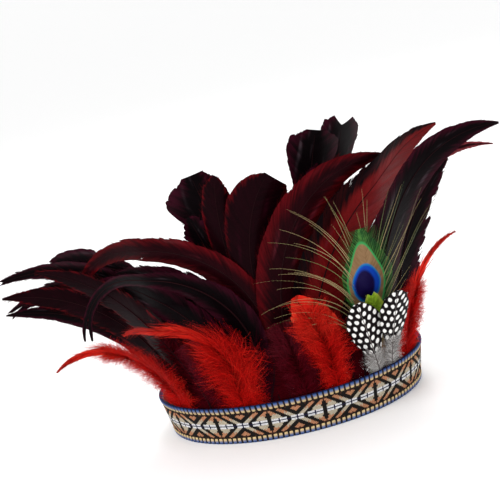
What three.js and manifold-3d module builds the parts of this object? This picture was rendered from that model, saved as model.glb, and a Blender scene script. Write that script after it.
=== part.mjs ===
// A feathered headdress: a woven ribbon band that goes round the head, with a fan of dyed
// feathers sewn inside its front half. The origin is the middle of the head opening on the
// band's lower edge, +Z is up, -Y is the side with the feathers and +X is right seen from there.
import * as THREE from "three";
import Module from "manifold-3d";

const wasm = await Module();
wasm.setup();

// Driving dimensions of the band, in millimetres and degrees
const HEAD_HALF_LENGTH = 95; // inside the band's lower edge, along X
const HEAD_HALF_WIDTH = 77; // inside the band's lower edge, along Y
const RIBBON_WIDTH = 30; // measured up the ribbon's face
const RIBBON_FLARE = 11; // how far the ribbon leans outwards
const RIBBON_THICKNESS = 1.6;
const STITCH_WIDTH = 5; // the overcast border along each edge
const STITCH_RISE = 0.6; // how far that border stands out of the ribbon
const BAND_SEGMENTS = 72;

// Driving dimensions of the feathers
const COQUE_LENGTH = 210; // the long tail feathers, from the band's upper edge to the tip
const COQUE_WIDTH = 26;
const HACKLE_LENGTH = 150; // the red ones with a downy base
const HACKLE_WIDTH = 42; // across the down
const GUINEA_LENGTH = 58; // the small spotted ones
const GUINEA_WIDTH = 24;
const PEACOCK_LENGTH = 100; // to the top of the eye's green fringe
const PEACOCK_WIDTH = 46;
const HERL_LENGTH = 78; // the loose green strands round the peacock's eye
const HERL_WIDTH = 1.8;
const HERL_STEPS = 7;
const VANE_EDGE = 0.5; // thickness at a vane's edge
const QUILL_THICKNESS = 1.1; // along the middle of each feather
const QUILL_WIDTH = 2.6; // of the bare quill inside the band
const DOWN_THICKNESS = 3.2; // of the down in front of the quill
const DOWN_SLOPE = 0.08; // how fast it gets that thick, as a share of its height above the band
const SEWN_DEPTH = 22; // how far a quill goes down behind the ribbon
const SEAM_GAP = 0.35; // between a quill and the ribbon that it is sewn to

// The fan: each feather lies in one of these layers, counted from the front one
const LAST_LAYER = 19;
const FRONT_LEAN = -38; // of the front layer, outwards from the upright
const BACK_LEAN = 14; // of the last layer, inwards over the head
const FAN_START = 1; // above the band's upper edge
const TUFT_DEPTH = 5; // how far inwards of the first layer the last one starts, at the band's upper edge
const LEAN_IN_OVER = 10; // height over which a layer takes up its lean
const TIP_CURL = 14; // how far outwards all layers bend at CURL_HEIGHT
const CURL_HEIGHT = 200;
const FRONT_HALF = 63; // the feathers are sewn along this many degrees each way from the front
const WING_SWEEP = 40; // length over which the layers turn from the band's curve to straight wings
const STRETCH_REACH = WING_SWEEP / 3; // the stretch over which the face's slope is evened out
const CUP = 0.5; // how far a vane's edges bend back
const WIDE_LOCK = 1.1; // every second ring of the down, as a share of its outline
const NARROW_LOCK = 0.86;
const THINNEST_VANE = QUILL_WIDTH / 4; // half the width that no vane goes under

const rad = THREE.MathUtils.degToRad;
const BAND_HEIGHT = RIBBON_WIDTH * Math.cos(rad(RIBBON_FLARE));

// Outlines: half the width to each side, as shares, at shares of the length
const OUTLINES = {
  sickle: [
    { along: 0, left: 0.12, right: 0.12 },
    { along: 0.07, left: 0.25, right: 0.25 },
    { along: 0.16, left: 0.68, right: 0.66 },
    { along: 0.3, left: 0.95, right: 0.92 },
    { along: 0.5, left: 1, right: 1 },
    { along: 0.68, left: 0.86, right: 0.88 },
    { along: 0.82, left: 0.6, right: 0.62 },
    { along: 0.92, left: 0.34, right: 0.34 },
    { along: 1, left: 0.05, right: 0.05 },
  ],
  slender: [
    { along: 0, left: 0.12, right: 0.12 },
    { along: 0.07, left: 0.25, right: 0.25 },
    { along: 0.16, left: 0.66, right: 0.7 },
    { along: 0.28, left: 0.95, right: 1 },
    { along: 0.4, left: 0.9, right: 0.9 },
    { along: 0.52, left: 0.6, right: 0.6 },
    { along: 0.64, left: 0.38, right: 0.38 },
    { along: 0.85, left: 0.26, right: 0.26 },
    { along: 1, left: 0.06, right: 0.06 },
  ],
  broad: [
    { along: 0, left: 0.08, right: 0.08 },
    { along: 0.1, left: 0.14, right: 0.14 },
    { along: 0.3, left: 0.4, right: 0.4 },
    { along: 0.5, left: 0.58, right: 0.58 },
    { along: 0.7, left: 0.84, right: 0.84 },
    { along: 0.85, left: 1, right: 1 },
    { along: 0.94, left: 0.8, right: 0.78 },
    { along: 1, left: 0.2, right: 0.2 },
  ],
  hooked: [
    { along: 0, left: 0.08, right: 0.08 },
    { along: 0.1, left: 0.14, right: 0.14 },
    { along: 0.3, left: 0.4, right: 0.4 },
    { along: 0.5, left: 0.6, right: 0.6 },
    { along: 0.7, left: 0.84, right: 0.8 },
    { along: 0.85, left: 1, right: 0.9 },
    { along: 0.94, left: 0.72, right: 1 },
    { along: 1, left: 0.1, right: 1 },
  ],
  swept: [
    { along: 0, left: 0.08, right: 0.08 },
    { along: 0.1, left: 0.14, right: 0.14 },
    { along: 0.3, left: 0.4, right: 0.4 },
    { along: 0.5, left: 0.6, right: 0.6 },
    { along: 0.7, left: 0.86, right: 0.8 },
    { along: 0.85, left: 1.1, right: 0.9 },
    { along: 0.93, left: 1.15, right: 0.85 },
    { along: 1, left: 0.3, right: 0.5 },
  ],
  spoon: [
    { along: 0, left: 0.08, right: 0.08 },
    { along: 0.1, left: 0.14, right: 0.14 },
    { along: 0.3, left: 0.3, right: 0.3 },
    { along: 0.5, left: 0.38, right: 0.38 },
    { along: 0.7, left: 0.42, right: 0.34 },
    { along: 0.78, left: 0.58, right: 0.44 },
    { along: 0.86, left: 0.84, right: 0.74 },
    { along: 0.93, left: 1, right: 1 },
    { along: 0.97, left: 0.9, right: 0.95 },
    { along: 1, left: 0.4, right: 0.5 },
  ],
  hackle: [
    { along: 0, left: 0.2, right: 0.2 },
    { along: 0.06, left: 0.6, right: 0.6 },
    { along: 0.16, left: 0.95, right: 0.95 },
    { along: 0.28, left: 1, right: 1 },
    { along: 0.4, left: 0.66, right: 0.66 },
    { along: 0.5, left: 0.3, right: 0.3 },
    { along: 0.65, left: 0.2, right: 0.2 },
    { along: 0.85, left: 0.14, right: 0.14 },
    { along: 1, left: 0.03, right: 0.03 },
  ],
  down: [
    { along: 0, left: 0.2, right: 0.2 },
    { along: 0.08, left: 0.45, right: 0.45 },
    { along: 0.25, left: 0.96, right: 0.96 },
    { along: 0.5, left: 1, right: 1 },
    { along: 0.75, left: 0.82, right: 0.82 },
    { along: 0.9, left: 0.5, right: 0.5 },
    { along: 1, left: 0.15, right: 0.15 },
  ],
  spotted: [
    { along: 0, left: 0.12, right: 0.12 },
    { along: 0.2, left: 0.4, right: 0.4 },
    { along: 0.5, left: 0.92, right: 0.92 },
    { along: 0.75, left: 1, right: 1 },
    { along: 0.9, left: 0.72, right: 0.72 },
    { along: 1, left: 0.16, right: 0.16 },
  ],
  eye: [
    { along: 0, left: 0.06, right: 0.06 },
    { along: 0.25, left: 0.2, right: 0.2 },
    { along: 0.4, left: 0.6, right: 0.6 },
    { along: 0.55, left: 0.95, right: 0.95 },
    { along: 0.7, left: 1, right: 1 },
    { along: 0.86, left: 0.6, right: 0.6 },
    { along: 1, left: 0.12, right: 0.12 },
  ],
};

// Kinds of feather: the sizes that their shares are of, and how they are built
const KINDS = {
  sickle: { length: COQUE_LENGTH, width: COQUE_WIDTH, steps: 14, cup: CUP, down: 0 },
  slender: { length: COQUE_LENGTH, width: COQUE_WIDTH, steps: 16, cup: CUP, down: 0 },
  broad: { length: COQUE_LENGTH, width: COQUE_WIDTH, steps: 14, cup: CUP, down: 0 },
  hooked: { length: COQUE_LENGTH, width: COQUE_WIDTH, steps: 14, cup: CUP, down: 0 },
  swept: { length: COQUE_LENGTH, width: COQUE_WIDTH, steps: 14, cup: CUP, down: 0 },
  spoon: { length: COQUE_LENGTH, width: COQUE_WIDTH, steps: 14, cup: CUP, down: 0 },
  hackle: { length: HACKLE_LENGTH, width: HACKLE_WIDTH, steps: 22, cup: 0, down: 0.42 },
  down: { length: HACKLE_LENGTH, width: HACKLE_WIDTH, steps: 16, cup: 0, down: 1 },
  spotted: { length: GUINEA_LENGTH, width: GUINEA_WIDTH, steps: 9, cup: CUP / 2, down: 0 },
  eye: { length: PEACOCK_LENGTH, width: PEACOCK_WIDTH, steps: 12, cup: 0, down: 0 },
};

const RIBBON_ROUGHNESS = 0.9;
const FEATHER_ROUGHNESS = 0.5;
const WOVEN_BROWN = 0x8a6a4a;
const BLACK = 0x1a1014;
const BURGUNDY = 0x4a0f18;
const RED = 0xb01a14;
const GREEN = 0x1f6a3a;
const LIME = 0x8ab81a;

// The feathers. root: degrees along the band from the front, + to the right; long and wide: shares
// of the kind's length and width; lean: degrees from upright where it leaves the band, + to the
// right; bend: degrees that it has turned by the tip; late: power that delays the bend; layer:
// counted from the front.
const FEATHERS = [
  { name: "spotted_feather_right", kind: "spotted", layer: 0, colour: BLACK,
    root: 47, long: 1.2, wide: 0.95, lean: 8, bend: -2, late: 1 },
  { name: "spotted_feather_left", kind: "spotted", layer: 1, colour: BLACK,
    root: 38.5, long: 1.12, wide: 1.05, lean: -6, bend: -4, late: 1 },
  { name: "lime_feather", kind: "spotted", layer: 3, colour: LIME,
    root: 43, long: 1.18, wide: 0.65, lean: 0, bend: -6, late: 1 },
  { name: "peacock_eye_feather", kind: "eye", layer: 4, colour: GREEN,
    root: 34, long: 1.2, wide: 0.8, lean: 12, bend: -16, late: 1 },
  { name: "red_hackle_right", kind: "hackle", layer: 6, colour: RED,
    root: 60, long: 0.67, wide: 0.8, lean: 12, bend: 74, late: 2 },
  { name: "red_hackle_middle", kind: "hackle", layer: 3, colour: RED,
    root: -22, long: 0.87, wide: 1.2, lean: 3, bend: -142, late: 1.6 },
  { name: "red_hackle_left", kind: "hackle", layer: 4, colour: RED,
    root: -58, long: 0.79, wide: 0.85, lean: 4, bend: -134, late: 0.8 },
  { name: "red_down_feather", kind: "down", layer: 5, colour: RED,
    root: 17.5, long: 0.54, wide: 0.85, lean: 0, bend: -24, late: 1 },
  { name: "burgundy_down_feather", kind: "down", layer: 7, colour: BURGUNDY,
    root: 4, long: 0.4, wide: 0.8, lean: -4, bend: -4, late: 1 },
  { name: "burgundy_down_feather_left", kind: "down", layer: 8, colour: BURGUNDY,
    root: -29, long: 0.38, wide: 0.8, lean: -8, bend: -20, late: 1 },
  { name: "forked_tail_feather", kind: "slender", layer: 10, colour: BLACK,
    root: -15.5, long: 1.09, wide: 1, lean: 20, bend: -196, late: 1.2 },
  { name: "red_sickle_feather", kind: "sickle", layer: 10, colour: RED,
    root: 10, long: 1.05, wide: 1.6, lean: 2, bend: 80, late: 1.2 },
  { name: "left_tail_feather_1", kind: "sickle", layer: 11, colour: BURGUNDY,
    root: -38.5, long: 0.78, wide: 1, lean: -14, bend: -60, late: 1 },
  { name: "burgundy_sickle_feather", kind: "sickle", layer: 11, colour: BURGUNDY,
    root: 1, long: 1, wide: 1.4, lean: -1, bend: 108, late: 2.2 },
  { name: "left_sickle_feather", kind: "sickle", layer: 12, colour: BURGUNDY,
    root: -10.5, long: 1.14, wide: 0.85, lean: 23, bend: -174, late: 1.2 },
  { name: "left_tail_feather_2", kind: "sickle", layer: 12, colour: BLACK,
    root: -26, long: 0.75, wide: 1.1, lean: 6, bend: -118, late: 1.2 },
  { name: "right_sickle_feather", kind: "sickle", layer: 12, colour: BLACK,
    root: 40.5, long: 1.03, wide: 1.3, lean: 7, bend: 92, late: 1.6 },
  { name: "left_tail_feather_3", kind: "sickle", layer: 13, colour: BLACK,
    root: -19, long: 0.72, wide: 1.3, lean: 8, bend: -110, late: 1.4 },
  { name: "middle_tail_feather_1", kind: "hooked", layer: 13, colour: BURGUNDY,
    root: -2.5, long: 0.8, wide: 1.5, lean: -6, bend: 52, late: 3 },
  { name: "right_tail_feather_1", kind: "sickle", layer: 15, colour: BLACK,
    root: 53, long: 0.7, wide: 1.35, lean: 12, bend: 44, late: 1.4 },
  { name: "left_tail_feather_4", kind: "sickle", layer: 14, colour: BLACK,
    root: -32.5, long: 1.03, wide: 0.7, lean: 4, bend: -108, late: 0.8 },
  { name: "middle_tail_feather_2", kind: "broad", layer: 14, colour: BURGUNDY,
    root: -7, long: 0.8, wide: 0.9, lean: -8, bend: 20, late: 3 },
  { name: "right_tail_feather_2", kind: "sickle", layer: 14, colour: RED,
    root: 31, long: 1.02, wide: 0.6, lean: 8, bend: 100, late: 1.5 },
  { name: "left_tail_feather_5", kind: "sickle", layer: 15, colour: BURGUNDY,
    root: -50, long: 0.8, wide: 1, lean: -14, bend: -72, late: 0.8 },
  { name: "middle_tail_feather_3", kind: "broad", layer: 15, colour: BLACK,
    root: -13, long: 0.68, wide: 1.3, lean: -2, bend: -18, late: 1.4 },
  { name: "left_tail_feather_6", kind: "sickle", layer: 16, colour: BLACK,
    root: -42, long: 0.85, wide: 0.8, lean: -2, bend: -84, late: 0.8 },
  { name: "middle_tail_feather_4", kind: "broad", layer: 16, colour: BLACK,
    root: 8, long: 0.76, wide: 1.1, lean: 9, bend: 10, late: 1 },
  { name: "right_tail_feather_3", kind: "sickle", layer: 16, colour: BLACK,
    root: 25, long: 0.68, wide: 1.3, lean: 10, bend: 22, late: 1 },
  { name: "left_tail_feather_7", kind: "broad", layer: 17, colour: BLACK,
    root: -35.5, long: 0.84, wide: 0.9, lean: 12, bend: -108, late: 0.9 },
  { name: "high_tail_feather_1", kind: "spoon", layer: 17, colour: BLACK,
    root: 13.5, long: 0.86, wide: 1.6, lean: 2, bend: 20, late: 1.4 },
  { name: "left_tail_feather_8", kind: "sickle", layer: 18, colour: BLACK,
    root: -55, long: 0.74, wide: 0.7, lean: -16, bend: -72, late: 0.7 },
  { name: "middle_tail_feather_5", kind: "swept", layer: 18, colour: BLACK,
    root: -5, long: 0.8, wide: 1.75, lean: -8, bend: -4, late: 1 },
  { name: "left_tail_feather_9", kind: "sickle", layer: 19, colour: BLACK,
    root: -46, long: 0.92, wide: 0.8, lean: 6, bend: -130, late: 0.9 },
  { name: "high_tail_feather_2", kind: "spoon", layer: 19, colour: BLACK,
    root: 21.5, long: 0.87, wide: 1.35, lean: 5, bend: 22, late: 1.4 },
];

// The strands that are loose from the eye. at: share of the quill's length where one leaves it;
// long: share of HERL_LENGTH; lean and bend: as a feather's.
const HERLS = [
  { at: 0.1, long: 1.15, lean: -16, bend: -50 },
  { at: 0.14, long: 1.4, lean: -12, bend: -60 },
  { at: 0.18, long: 1.4, lean: -8, bend: -44 },
  { at: 0.24, long: 1.35, lean: -6, bend: -34 },
  { at: 0.3, long: 1.35, lean: -2, bend: -26 },
  { at: 0.38, long: 1.2, lean: 0, bend: -14 },
  { at: 0.46, long: 1.2, lean: 4, bend: -4 },
  { at: 0.4, long: 1.3, lean: 16, bend: 6 },
  { at: 0.3, long: 1.3, lean: 20, bend: 14 },
  { at: 0.2, long: 1.35, lean: 22, bend: 26 },
  { at: 0.12, long: 0.8, lean: 26, bend: 14 },
];

// Straight lines between the rows of an outline
function outlineAt(rows, along, side) {
  const next = rows.findIndex((row) => row.along >= along);
  if (next <= 0) return rows[0][side];
  const a = rows[next - 1];
  const b = rows[next];
  return THREE.MathUtils.mapLinear(along, a.along, b.along, a[side], b[side]);
}

// How far the ribbon's inner face has moved outwards at a height above the lower edge
const flareAt = (z) => Math.min(z, BAND_HEIGHT) * Math.tan(rad(RIBBON_FLARE));

// The ribbon's inner face as a depth at x, carried on as straight wings beyond the last feathers
function faceDepth(x, z) {
  const a = HEAD_HALF_LENGTH + flareAt(z);
  const b = HEAD_HALF_WIDTH + flareAt(z);
  const lastX = a * Math.sin(rad(FRONT_HALF));
  const past = Math.max(0, Math.abs(x) - lastX);
  const reached = Math.min(Math.abs(x), lastX);
  const slope = (b / a) * Math.tan(rad(FRONT_HALF));
  const wing = slope * WING_SWEEP * (1 - Math.exp(-past / WING_SWEEP));
  return -b * Math.sqrt(1 - (reached / a) ** 2) + wing;
}

// How much longer the face is than its shadow along X, evened out over a short stretch
function faceStretch(x, z) {
  const higher = faceDepth(x + STRETCH_REACH, z);
  const lower = faceDepth(x - STRETCH_REACH, z);
  const rise = (higher - lower) / (2 * STRETCH_REACH);
  return Math.sqrt(1 + rise * rise);
}

// How far inwards of the ribbon's inner face a layer lies at a height
function layerDepth(layer, z) {
  const height = Math.max(0, z - BAND_HEIGHT - FAN_START);
  const lean = THREE.MathUtils.lerp(FRONT_LEAN, BACK_LEAN, layer / LAST_LAYER);
  const climbed = (height * height) / (height + LEAN_IN_OVER);
  const curl = TIP_CURL * (height / CURL_HEIGHT) ** 2;
  const risen = THREE.MathUtils.clamp((z - BAND_HEIGHT - FAN_START) / SEWN_DEPTH + 1, 0, 1);
  const start = SEAM_GAP + QUILL_THICKNESS / 2 + (risen * TUFT_DEPTH * layer) / LAST_LAYER;
  return start + climbed * Math.tan(rad(lean)) - curl;
}

// The point of a layer at x and z, moved inwards by some depth
function layerPoint(layer, x, z, inwards) {
  const y = faceDepth(x, z) + faceStretch(x, z) * (layerDepth(layer, z) + inwards);
  return new THREE.Vector3(x, y, z);
}

// A closed solid from rings of points, each ring holding the same number of points. Each quad of
// a ring's first half is cut along its other diagonal, so that a thin wall's two faces match.
function solidFromRings(rings, { closed = false } = {}) {
  const across = rings[0].length;
  const positions = rings.flat().flatMap((p) => [p.x, p.y, p.z]);
  const index = [];
  const last = closed ? rings.length : rings.length - 1;
  for (let i = 0; i < last; i++) {
    const here = i * across;
    const next = ((i + 1) % rings.length) * across;
    for (let j = 0; j < across; j++) {
      const k = (j + 1) % across;
      if (j < across / 2) {
        index.push(here + j, next + j, here + k, here + k, next + j, next + k);
      } else {
        index.push(here + j, next + k, here + k, here + j, next + j, next + k);
      }
    }
  }
  if (!closed) {
    const end = (rings.length - 1) * across;
    for (let j = 1; j < across - 1; j++) {
      index.push(0, j, j + 1, end, end + j + 1, end + j);
    }
  }
  const geometry = new THREE.BufferGeometry();
  geometry.setAttribute("position", new THREE.Float32BufferAttribute(positions, 3));
  geometry.setIndex(index);
  geometry.computeVertexNormals();
  return geometry;
}

function bandGeometry() {
  const border = RIBBON_THICKNESS + STITCH_RISE;
  const section = [
    { out: 0, up: 0 },
    { out: border, up: 0 },
    { out: border, up: STITCH_WIDTH },
    { out: RIBBON_THICKNESS, up: STITCH_WIDTH },
    { out: RIBBON_THICKNESS, up: BAND_HEIGHT - STITCH_WIDTH },
    { out: border, up: BAND_HEIGHT - STITCH_WIDTH },
    { out: border, up: BAND_HEIGHT },
    { out: 0, up: BAND_HEIGHT },
  ];
  const rings = [];
  for (let i = 0; i < BAND_SEGMENTS; i++) {
    const turn = (i / BAND_SEGMENTS) * 2 * Math.PI;
    rings.push(
      section.map(({ out, up }) => {
        const grown = out + flareAt(up);
        return new THREE.Vector3(
          (HEAD_HALF_LENGTH + grown) * Math.cos(turn),
          (HEAD_HALF_WIDTH + grown) * Math.sin(turn),
          up,
        );
      }),
    );
  }
  return solidFromRings(rings, { closed: true });
}

// Steps along a curve in the plane of x and z: its direction turns from lean by bend
function curveSteps({ x, z, length, steps, lean, bend, late }) {
  const stride = length / steps;
  const line = [];
  let here = { x, z };
  for (let i = 1; i <= steps; i++) {
    const along = i / steps;
    const middle = rad(lean + bend * ((i - 0.5) / steps) ** late);
    here = { x: here.x + stride * Math.sin(middle), z: here.z + stride * Math.cos(middle) };
    line.push({ ...here, turn: rad(lean + bend * along ** late), along, bare: false });
  }
  return line;
}

// The line that a feather's quill follows: its bare foot behind the ribbon, then its vane
function quillLine({ kind, root, long, lean, bend, late }) {
  const { length, steps } = KINDS[kind];
  const z = BAND_HEIGHT + FAN_START;
  const sewnTo = z - SEWN_DEPTH;
  const x = (HEAD_HALF_LENGTH + flareAt(z)) * Math.sin(rad(root));
  const footX = (HEAD_HALF_LENGTH + flareAt(sewnTo)) * Math.sin(rad(root));
  return [
    { x: footX, z: sewnTo, turn: 0, along: 0, bare: true },
    { x, z, turn: 0, along: 0, bare: true },
    ...curveSteps({ x, z, length: long * length, steps, lean, bend, late }),
  ];
}

function featherGeometry(feather) {
  const { width, cup, down } = KINDS[feather.kind];
  const rows = OUTLINES[feather.kind];
  const half = (feather.wide * width) / 2;
  const rings = quillLine(feather).map(({ x, z, turn, along, bare }, step) => {
    const downy = along < down && !bare;
    const ringLock = step % 2 ? WIDE_LOCK : NARROW_LOCK;
    const lock = downy ? ringLock : 1;
    const vaneReach = (side) => Math.max(half * lock * outlineAt(rows, along, side), THINNEST_VANE);
    const reach = (side) => (bare ? QUILL_WIDTH / 2 : vaneReach(side));
    const height = Math.max(0, z - BAND_HEIGHT - FAN_START);
    const front = downy ? Math.min(DOWN_THICKNESS, DOWN_SLOPE * height) : 0;
    const place = (across, inwards) => {
      const cupped = bare ? 0 : cup * (across / half) ** 2;
      return layerPoint(
        feather.layer,
        x + across * Math.cos(turn),
        z - across * Math.sin(turn),
        inwards + cupped,
      );
    };
    const edge = (bare ? QUILL_THICKNESS : VANE_EDGE) / 2;
    const middle = downy ? VANE_EDGE : QUILL_THICKNESS / 2;
    return [
      place(-reach("left"), -edge),
      place(-reach("left"), edge),
      place(0, middle),
      place(reach("right"), edge),
      place(reach("right"), -edge),
      place(0, -middle - front),
    ];
  });
  return solidFromRings(rings);
}

// One loose strand, which starts on the quill of its feather and lies in the same layer
function herlGeometry(feather, { at, long, lean, bend }) {
  const vane = quillLine(feather).filter(({ bare }) => !bare);
  const start = vane[Math.round(at * vane.length)];
  const length = long * HERL_LENGTH;
  const late = 1;
  const line = [
    { x: start.x, z: start.z, turn: rad(lean), along: 0 },
    ...curveSteps({ x: start.x, z: start.z, length, steps: HERL_STEPS, lean, bend, late }),
  ];
  const rings = line.map(({ x, z, turn, along }) => {
    const half = (HERL_WIDTH / 2) * (1 - along / 2);
    const place = (across, inwards) =>
      layerPoint(
        feather.layer,
        x + across * Math.cos(turn),
        z - across * Math.sin(turn),
        inwards,
      );
    return [
      place(-half, -VANE_EDGE),
      place(-half, VANE_EDGE),
      place(half, VANE_EDGE),
      place(half, -VANE_EDGE),
    ];
  });
  return solidFromRings(rings);
}

// Several closed geometries joined into one
function fuse(geometries) {
  const solids = geometries.map((geometry) => {
    const vertProperties = geometry.getAttribute("position").array;
    const triVerts = new Uint32Array(geometry.getIndex().array);
    return new wasm.Manifold(new wasm.Mesh({ numProp: 3, vertProperties, triVerts }));
  });
  const mesh = solids.reduce((whole, solid) => whole.add(solid)).getMesh();
  const fused = new THREE.BufferGeometry();
  fused.setAttribute("position", new THREE.BufferAttribute(mesh.vertProperties, 3));
  fused.setIndex(new THREE.BufferAttribute(mesh.triVerts, 1));
  fused.computeVertexNormals();
  return fused;
}

function addPiece(group, name, geometry, colour, roughness) {
  const material = new THREE.MeshStandardMaterial({ color: colour, roughness, metalness: 0 });
  const mesh = new THREE.Mesh(geometry, material);
  mesh.name = name;
  group.add(mesh);
}

const headdress = new THREE.Group();
addPiece(headdress, "woven_band", bandGeometry(), WOVEN_BROWN, RIBBON_ROUGHNESS);
for (const feather of FEATHERS) {
  const vane = featherGeometry(feather);
  const loose = feather.kind === "eye" ? HERLS.map((herl) => herlGeometry(feather, herl)) : [];
  const geometry = loose.length ? fuse([vane, ...loose]) : vane;
  addPiece(headdress, feather.name, geometry, feather.colour, FEATHER_ROUGHNESS);
}

export default headdress;
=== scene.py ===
"""A feathered headdress, dressed around its frame: a woven ribbon with overcast borders, and a fan of
dyed feathers, each with its quill, barbs and down. Lengths are in metres, angles in degrees."""

import math

import bpy
import numpy as np
from mathutils import Matrix, Vector


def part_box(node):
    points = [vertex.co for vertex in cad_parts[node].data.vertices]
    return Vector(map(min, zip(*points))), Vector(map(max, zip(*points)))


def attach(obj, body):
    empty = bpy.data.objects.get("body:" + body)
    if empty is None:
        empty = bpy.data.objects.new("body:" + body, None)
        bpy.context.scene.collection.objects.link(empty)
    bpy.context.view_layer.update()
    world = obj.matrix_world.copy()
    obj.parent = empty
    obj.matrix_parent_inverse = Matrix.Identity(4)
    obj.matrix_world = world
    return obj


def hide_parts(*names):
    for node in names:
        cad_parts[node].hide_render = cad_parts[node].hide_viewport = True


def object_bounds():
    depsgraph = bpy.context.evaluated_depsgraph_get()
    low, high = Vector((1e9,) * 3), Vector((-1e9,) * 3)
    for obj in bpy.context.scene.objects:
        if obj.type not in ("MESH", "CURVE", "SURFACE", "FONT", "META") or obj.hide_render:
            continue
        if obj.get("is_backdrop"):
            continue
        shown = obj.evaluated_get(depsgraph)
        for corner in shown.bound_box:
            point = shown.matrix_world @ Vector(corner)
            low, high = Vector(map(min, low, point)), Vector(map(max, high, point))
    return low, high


bl_info = {
    "name": "Feathered Headdress",
    "version": (1, 0, 0),
    "blender": (4, 5, 0),
    "location": "View3D > Sidebar > Headdress",
    "description": "Makes a woven ribbon band with a fan of dyed feathers",
    "category": "Add Mesh",
}

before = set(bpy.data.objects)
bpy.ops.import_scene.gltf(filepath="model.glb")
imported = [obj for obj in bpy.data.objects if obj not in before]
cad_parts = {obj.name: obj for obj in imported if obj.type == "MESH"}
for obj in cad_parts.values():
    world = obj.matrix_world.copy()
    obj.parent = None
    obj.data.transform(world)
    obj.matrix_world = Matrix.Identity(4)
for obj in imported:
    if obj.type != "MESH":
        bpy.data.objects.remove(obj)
CAD_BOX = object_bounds()

MM = 0.001
SEED = 41
SEED_STEP = 10

# The band's sizes. What isn't written here comes from the frame.
RIBBON_FLARE = math.radians(11)
RIBBON_THICKNESS = 1.6 * MM
STITCH_RISE = 0.6 * MM
BAND_LOW, BAND_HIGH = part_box("woven_band")
BAND_HEIGHT = BAND_HIGH.z - BAND_LOW.z
RIBBON_WIDTH = BAND_HEIGHT / math.cos(RIBBON_FLARE)
TOP_FLARE = BAND_HEIGHT * math.tan(RIBBON_FLARE)
HEAD_HALF_LENGTH = BAND_HIGH.x - RIBBON_THICKNESS - STITCH_RISE - TOP_FLARE
HEAD_HALF_WIDTH = BAND_HIGH.y - RIBBON_THICKNESS - STITCH_RISE - TOP_FLARE

# The fan's layers, as the frame has them
LAST_LAYER = 19
FRONT_LEAN = -38
BACK_LEAN = 14
FAN_START = BAND_HEIGHT + 1 * MM
TUFT_DEPTH = 5 * MM
LEAN_IN_OVER = 10 * MM
TIP_CURL = 14 * MM
CURL_HEIGHT = 200 * MM
FRONT_HALF = math.radians(63)
WING_SWEEP = 40 * MM
SEWN_DEPTH = 22 * MM
SEAM_GAP = 0.35 * MM
QUILL_THICKNESS = 1.1 * MM


def table(text, *lengths):
    """The rows of a table whose first line names its columns; numbers are read as numbers, and the
    columns named in lengths are in mm."""
    lines = [line.split() for line in text.strip().splitlines()]
    rows = []
    for line in lines[1:]:
        cells = [float(cell) if cell.lstrip("-").replace(".", "", 1).isdigit() else cell for cell in line]
        row = dict(zip(lines[0], cells))
        row.update({name: row[name] * MM for name in lengths})
        rows.append(row)
    return rows


def by_name(rows):
    return {row["name"]: row for row in rows}


# Outlines: shares of the length, and half the width there to the left and the right, or to both sides
OUTLINES = {
    (kind, name): [float(cell) for cell in cells]
    for kind, name, *cells in (line.split() for line in """
sickle  along 0    0.07 0.16 0.3  0.5  0.68 0.82 0.92 1
sickle  left  0.12 0.25 0.68 0.95 1    0.86 0.6  0.34 0.05
sickle  right 0.12 0.25 0.66 0.92 1    0.88 0.62 0.34 0.05
slender along 0    0.07 0.16 0.28 0.4  0.52 0.64 0.85 0.97 1
slender left  0.12 0.25 0.66 0.95 0.9  0.6  0.38 0.28 0.24 0.12
slender right 0.12 0.25 0.7  1    0.9  0.6  0.38 0.28 0.24 0.12
broad   along 0    0.1  0.3  0.5  0.7  0.85 0.94 0.98 1
broad   left  0.08 0.14 0.4  0.58 0.84 1    0.8  0.5  0.12
broad   right 0.08 0.14 0.4  0.58 0.84 1    0.78 0.5  0.12
hooked  along 0    0.1  0.3  0.5  0.7  0.85 0.94 0.98 1
hooked  left  0.08 0.14 0.4  0.6  0.84 1    0.72 0.4  0.08
hooked  right 0.08 0.14 0.4  0.6  0.8  0.9  1    1    0.8
swept   along 0    0.1  0.3  0.5  0.7  0.8  0.87 0.91 0.96 1
swept   left  0.08 0.14 0.4  0.58 0.68 0.8  1.15 1.25 0.95 0.3
swept   right 0.08 0.14 0.4  0.6  0.8  0.87 0.9  0.86 0.75 0.4
spoon   along 0    0.1  0.3  0.5  0.7  0.78 0.86 0.93 0.97 0.99 1
spoon   left  0.08 0.14 0.3  0.38 0.42 0.58 0.84 1    0.9  0.7  0.3
spoon   right 0.08 0.14 0.3  0.38 0.34 0.44 0.74 1    0.95 0.8  0.4
hackle  along 0    0.06 0.16 0.28 0.4  0.5  0.65 0.85 1
hackle  both  0.2  0.6  0.95 1    0.66 0.3  0.2  0.14 0.03
down    along 0    0.08 0.25 0.5  0.75 0.9  1
down    both  0.2  0.45 0.96 1    0.82 0.5  0.15
spotted along 0    0.2  0.5  0.75 0.9  1
spotted both  0.12 0.4  0.92 1    0.72 0.16
eye     along 0    0.25 0.4  0.55 0.7  0.86 1
eye     both  0.06 0.2  0.6  0.95 1    0.6  0.12
""".strip().splitlines())
}
OUTLINE_STEPS = 400
OUTLINE_BLUR = 19

# Kinds of feather. length and width in mm; forward: how far a barb's end lies ahead of its root, as a
# share of its reach; barb: mm from one barb to the next; lock: usual width, in mm, of the locks that
# the barbs hold together in; dress: its row in DRESSES.
KINDS = by_name(table("""
name    length width forward barb lock dress
sickle  210    26    1.5     0.7  7    tail
slender 210    26    1.7     0.7  6    tail
broad   210    26    1.3     0.7  6    tail
hooked  210    26    1.3     0.7  6    tail
swept   210    26    1.3     0.7  6    tail
spoon   210    26    1.1     0.7  5    tail
hackle  150    42    2.2     0.7  5    hackle
down    150    42    1.2     0.6  5    down
spotted 58     24    0.7     0.5  6    spotted
eye     100    46    1.4     0.5  3    eye
""", "length", "width", "barb", "lock"))

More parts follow.
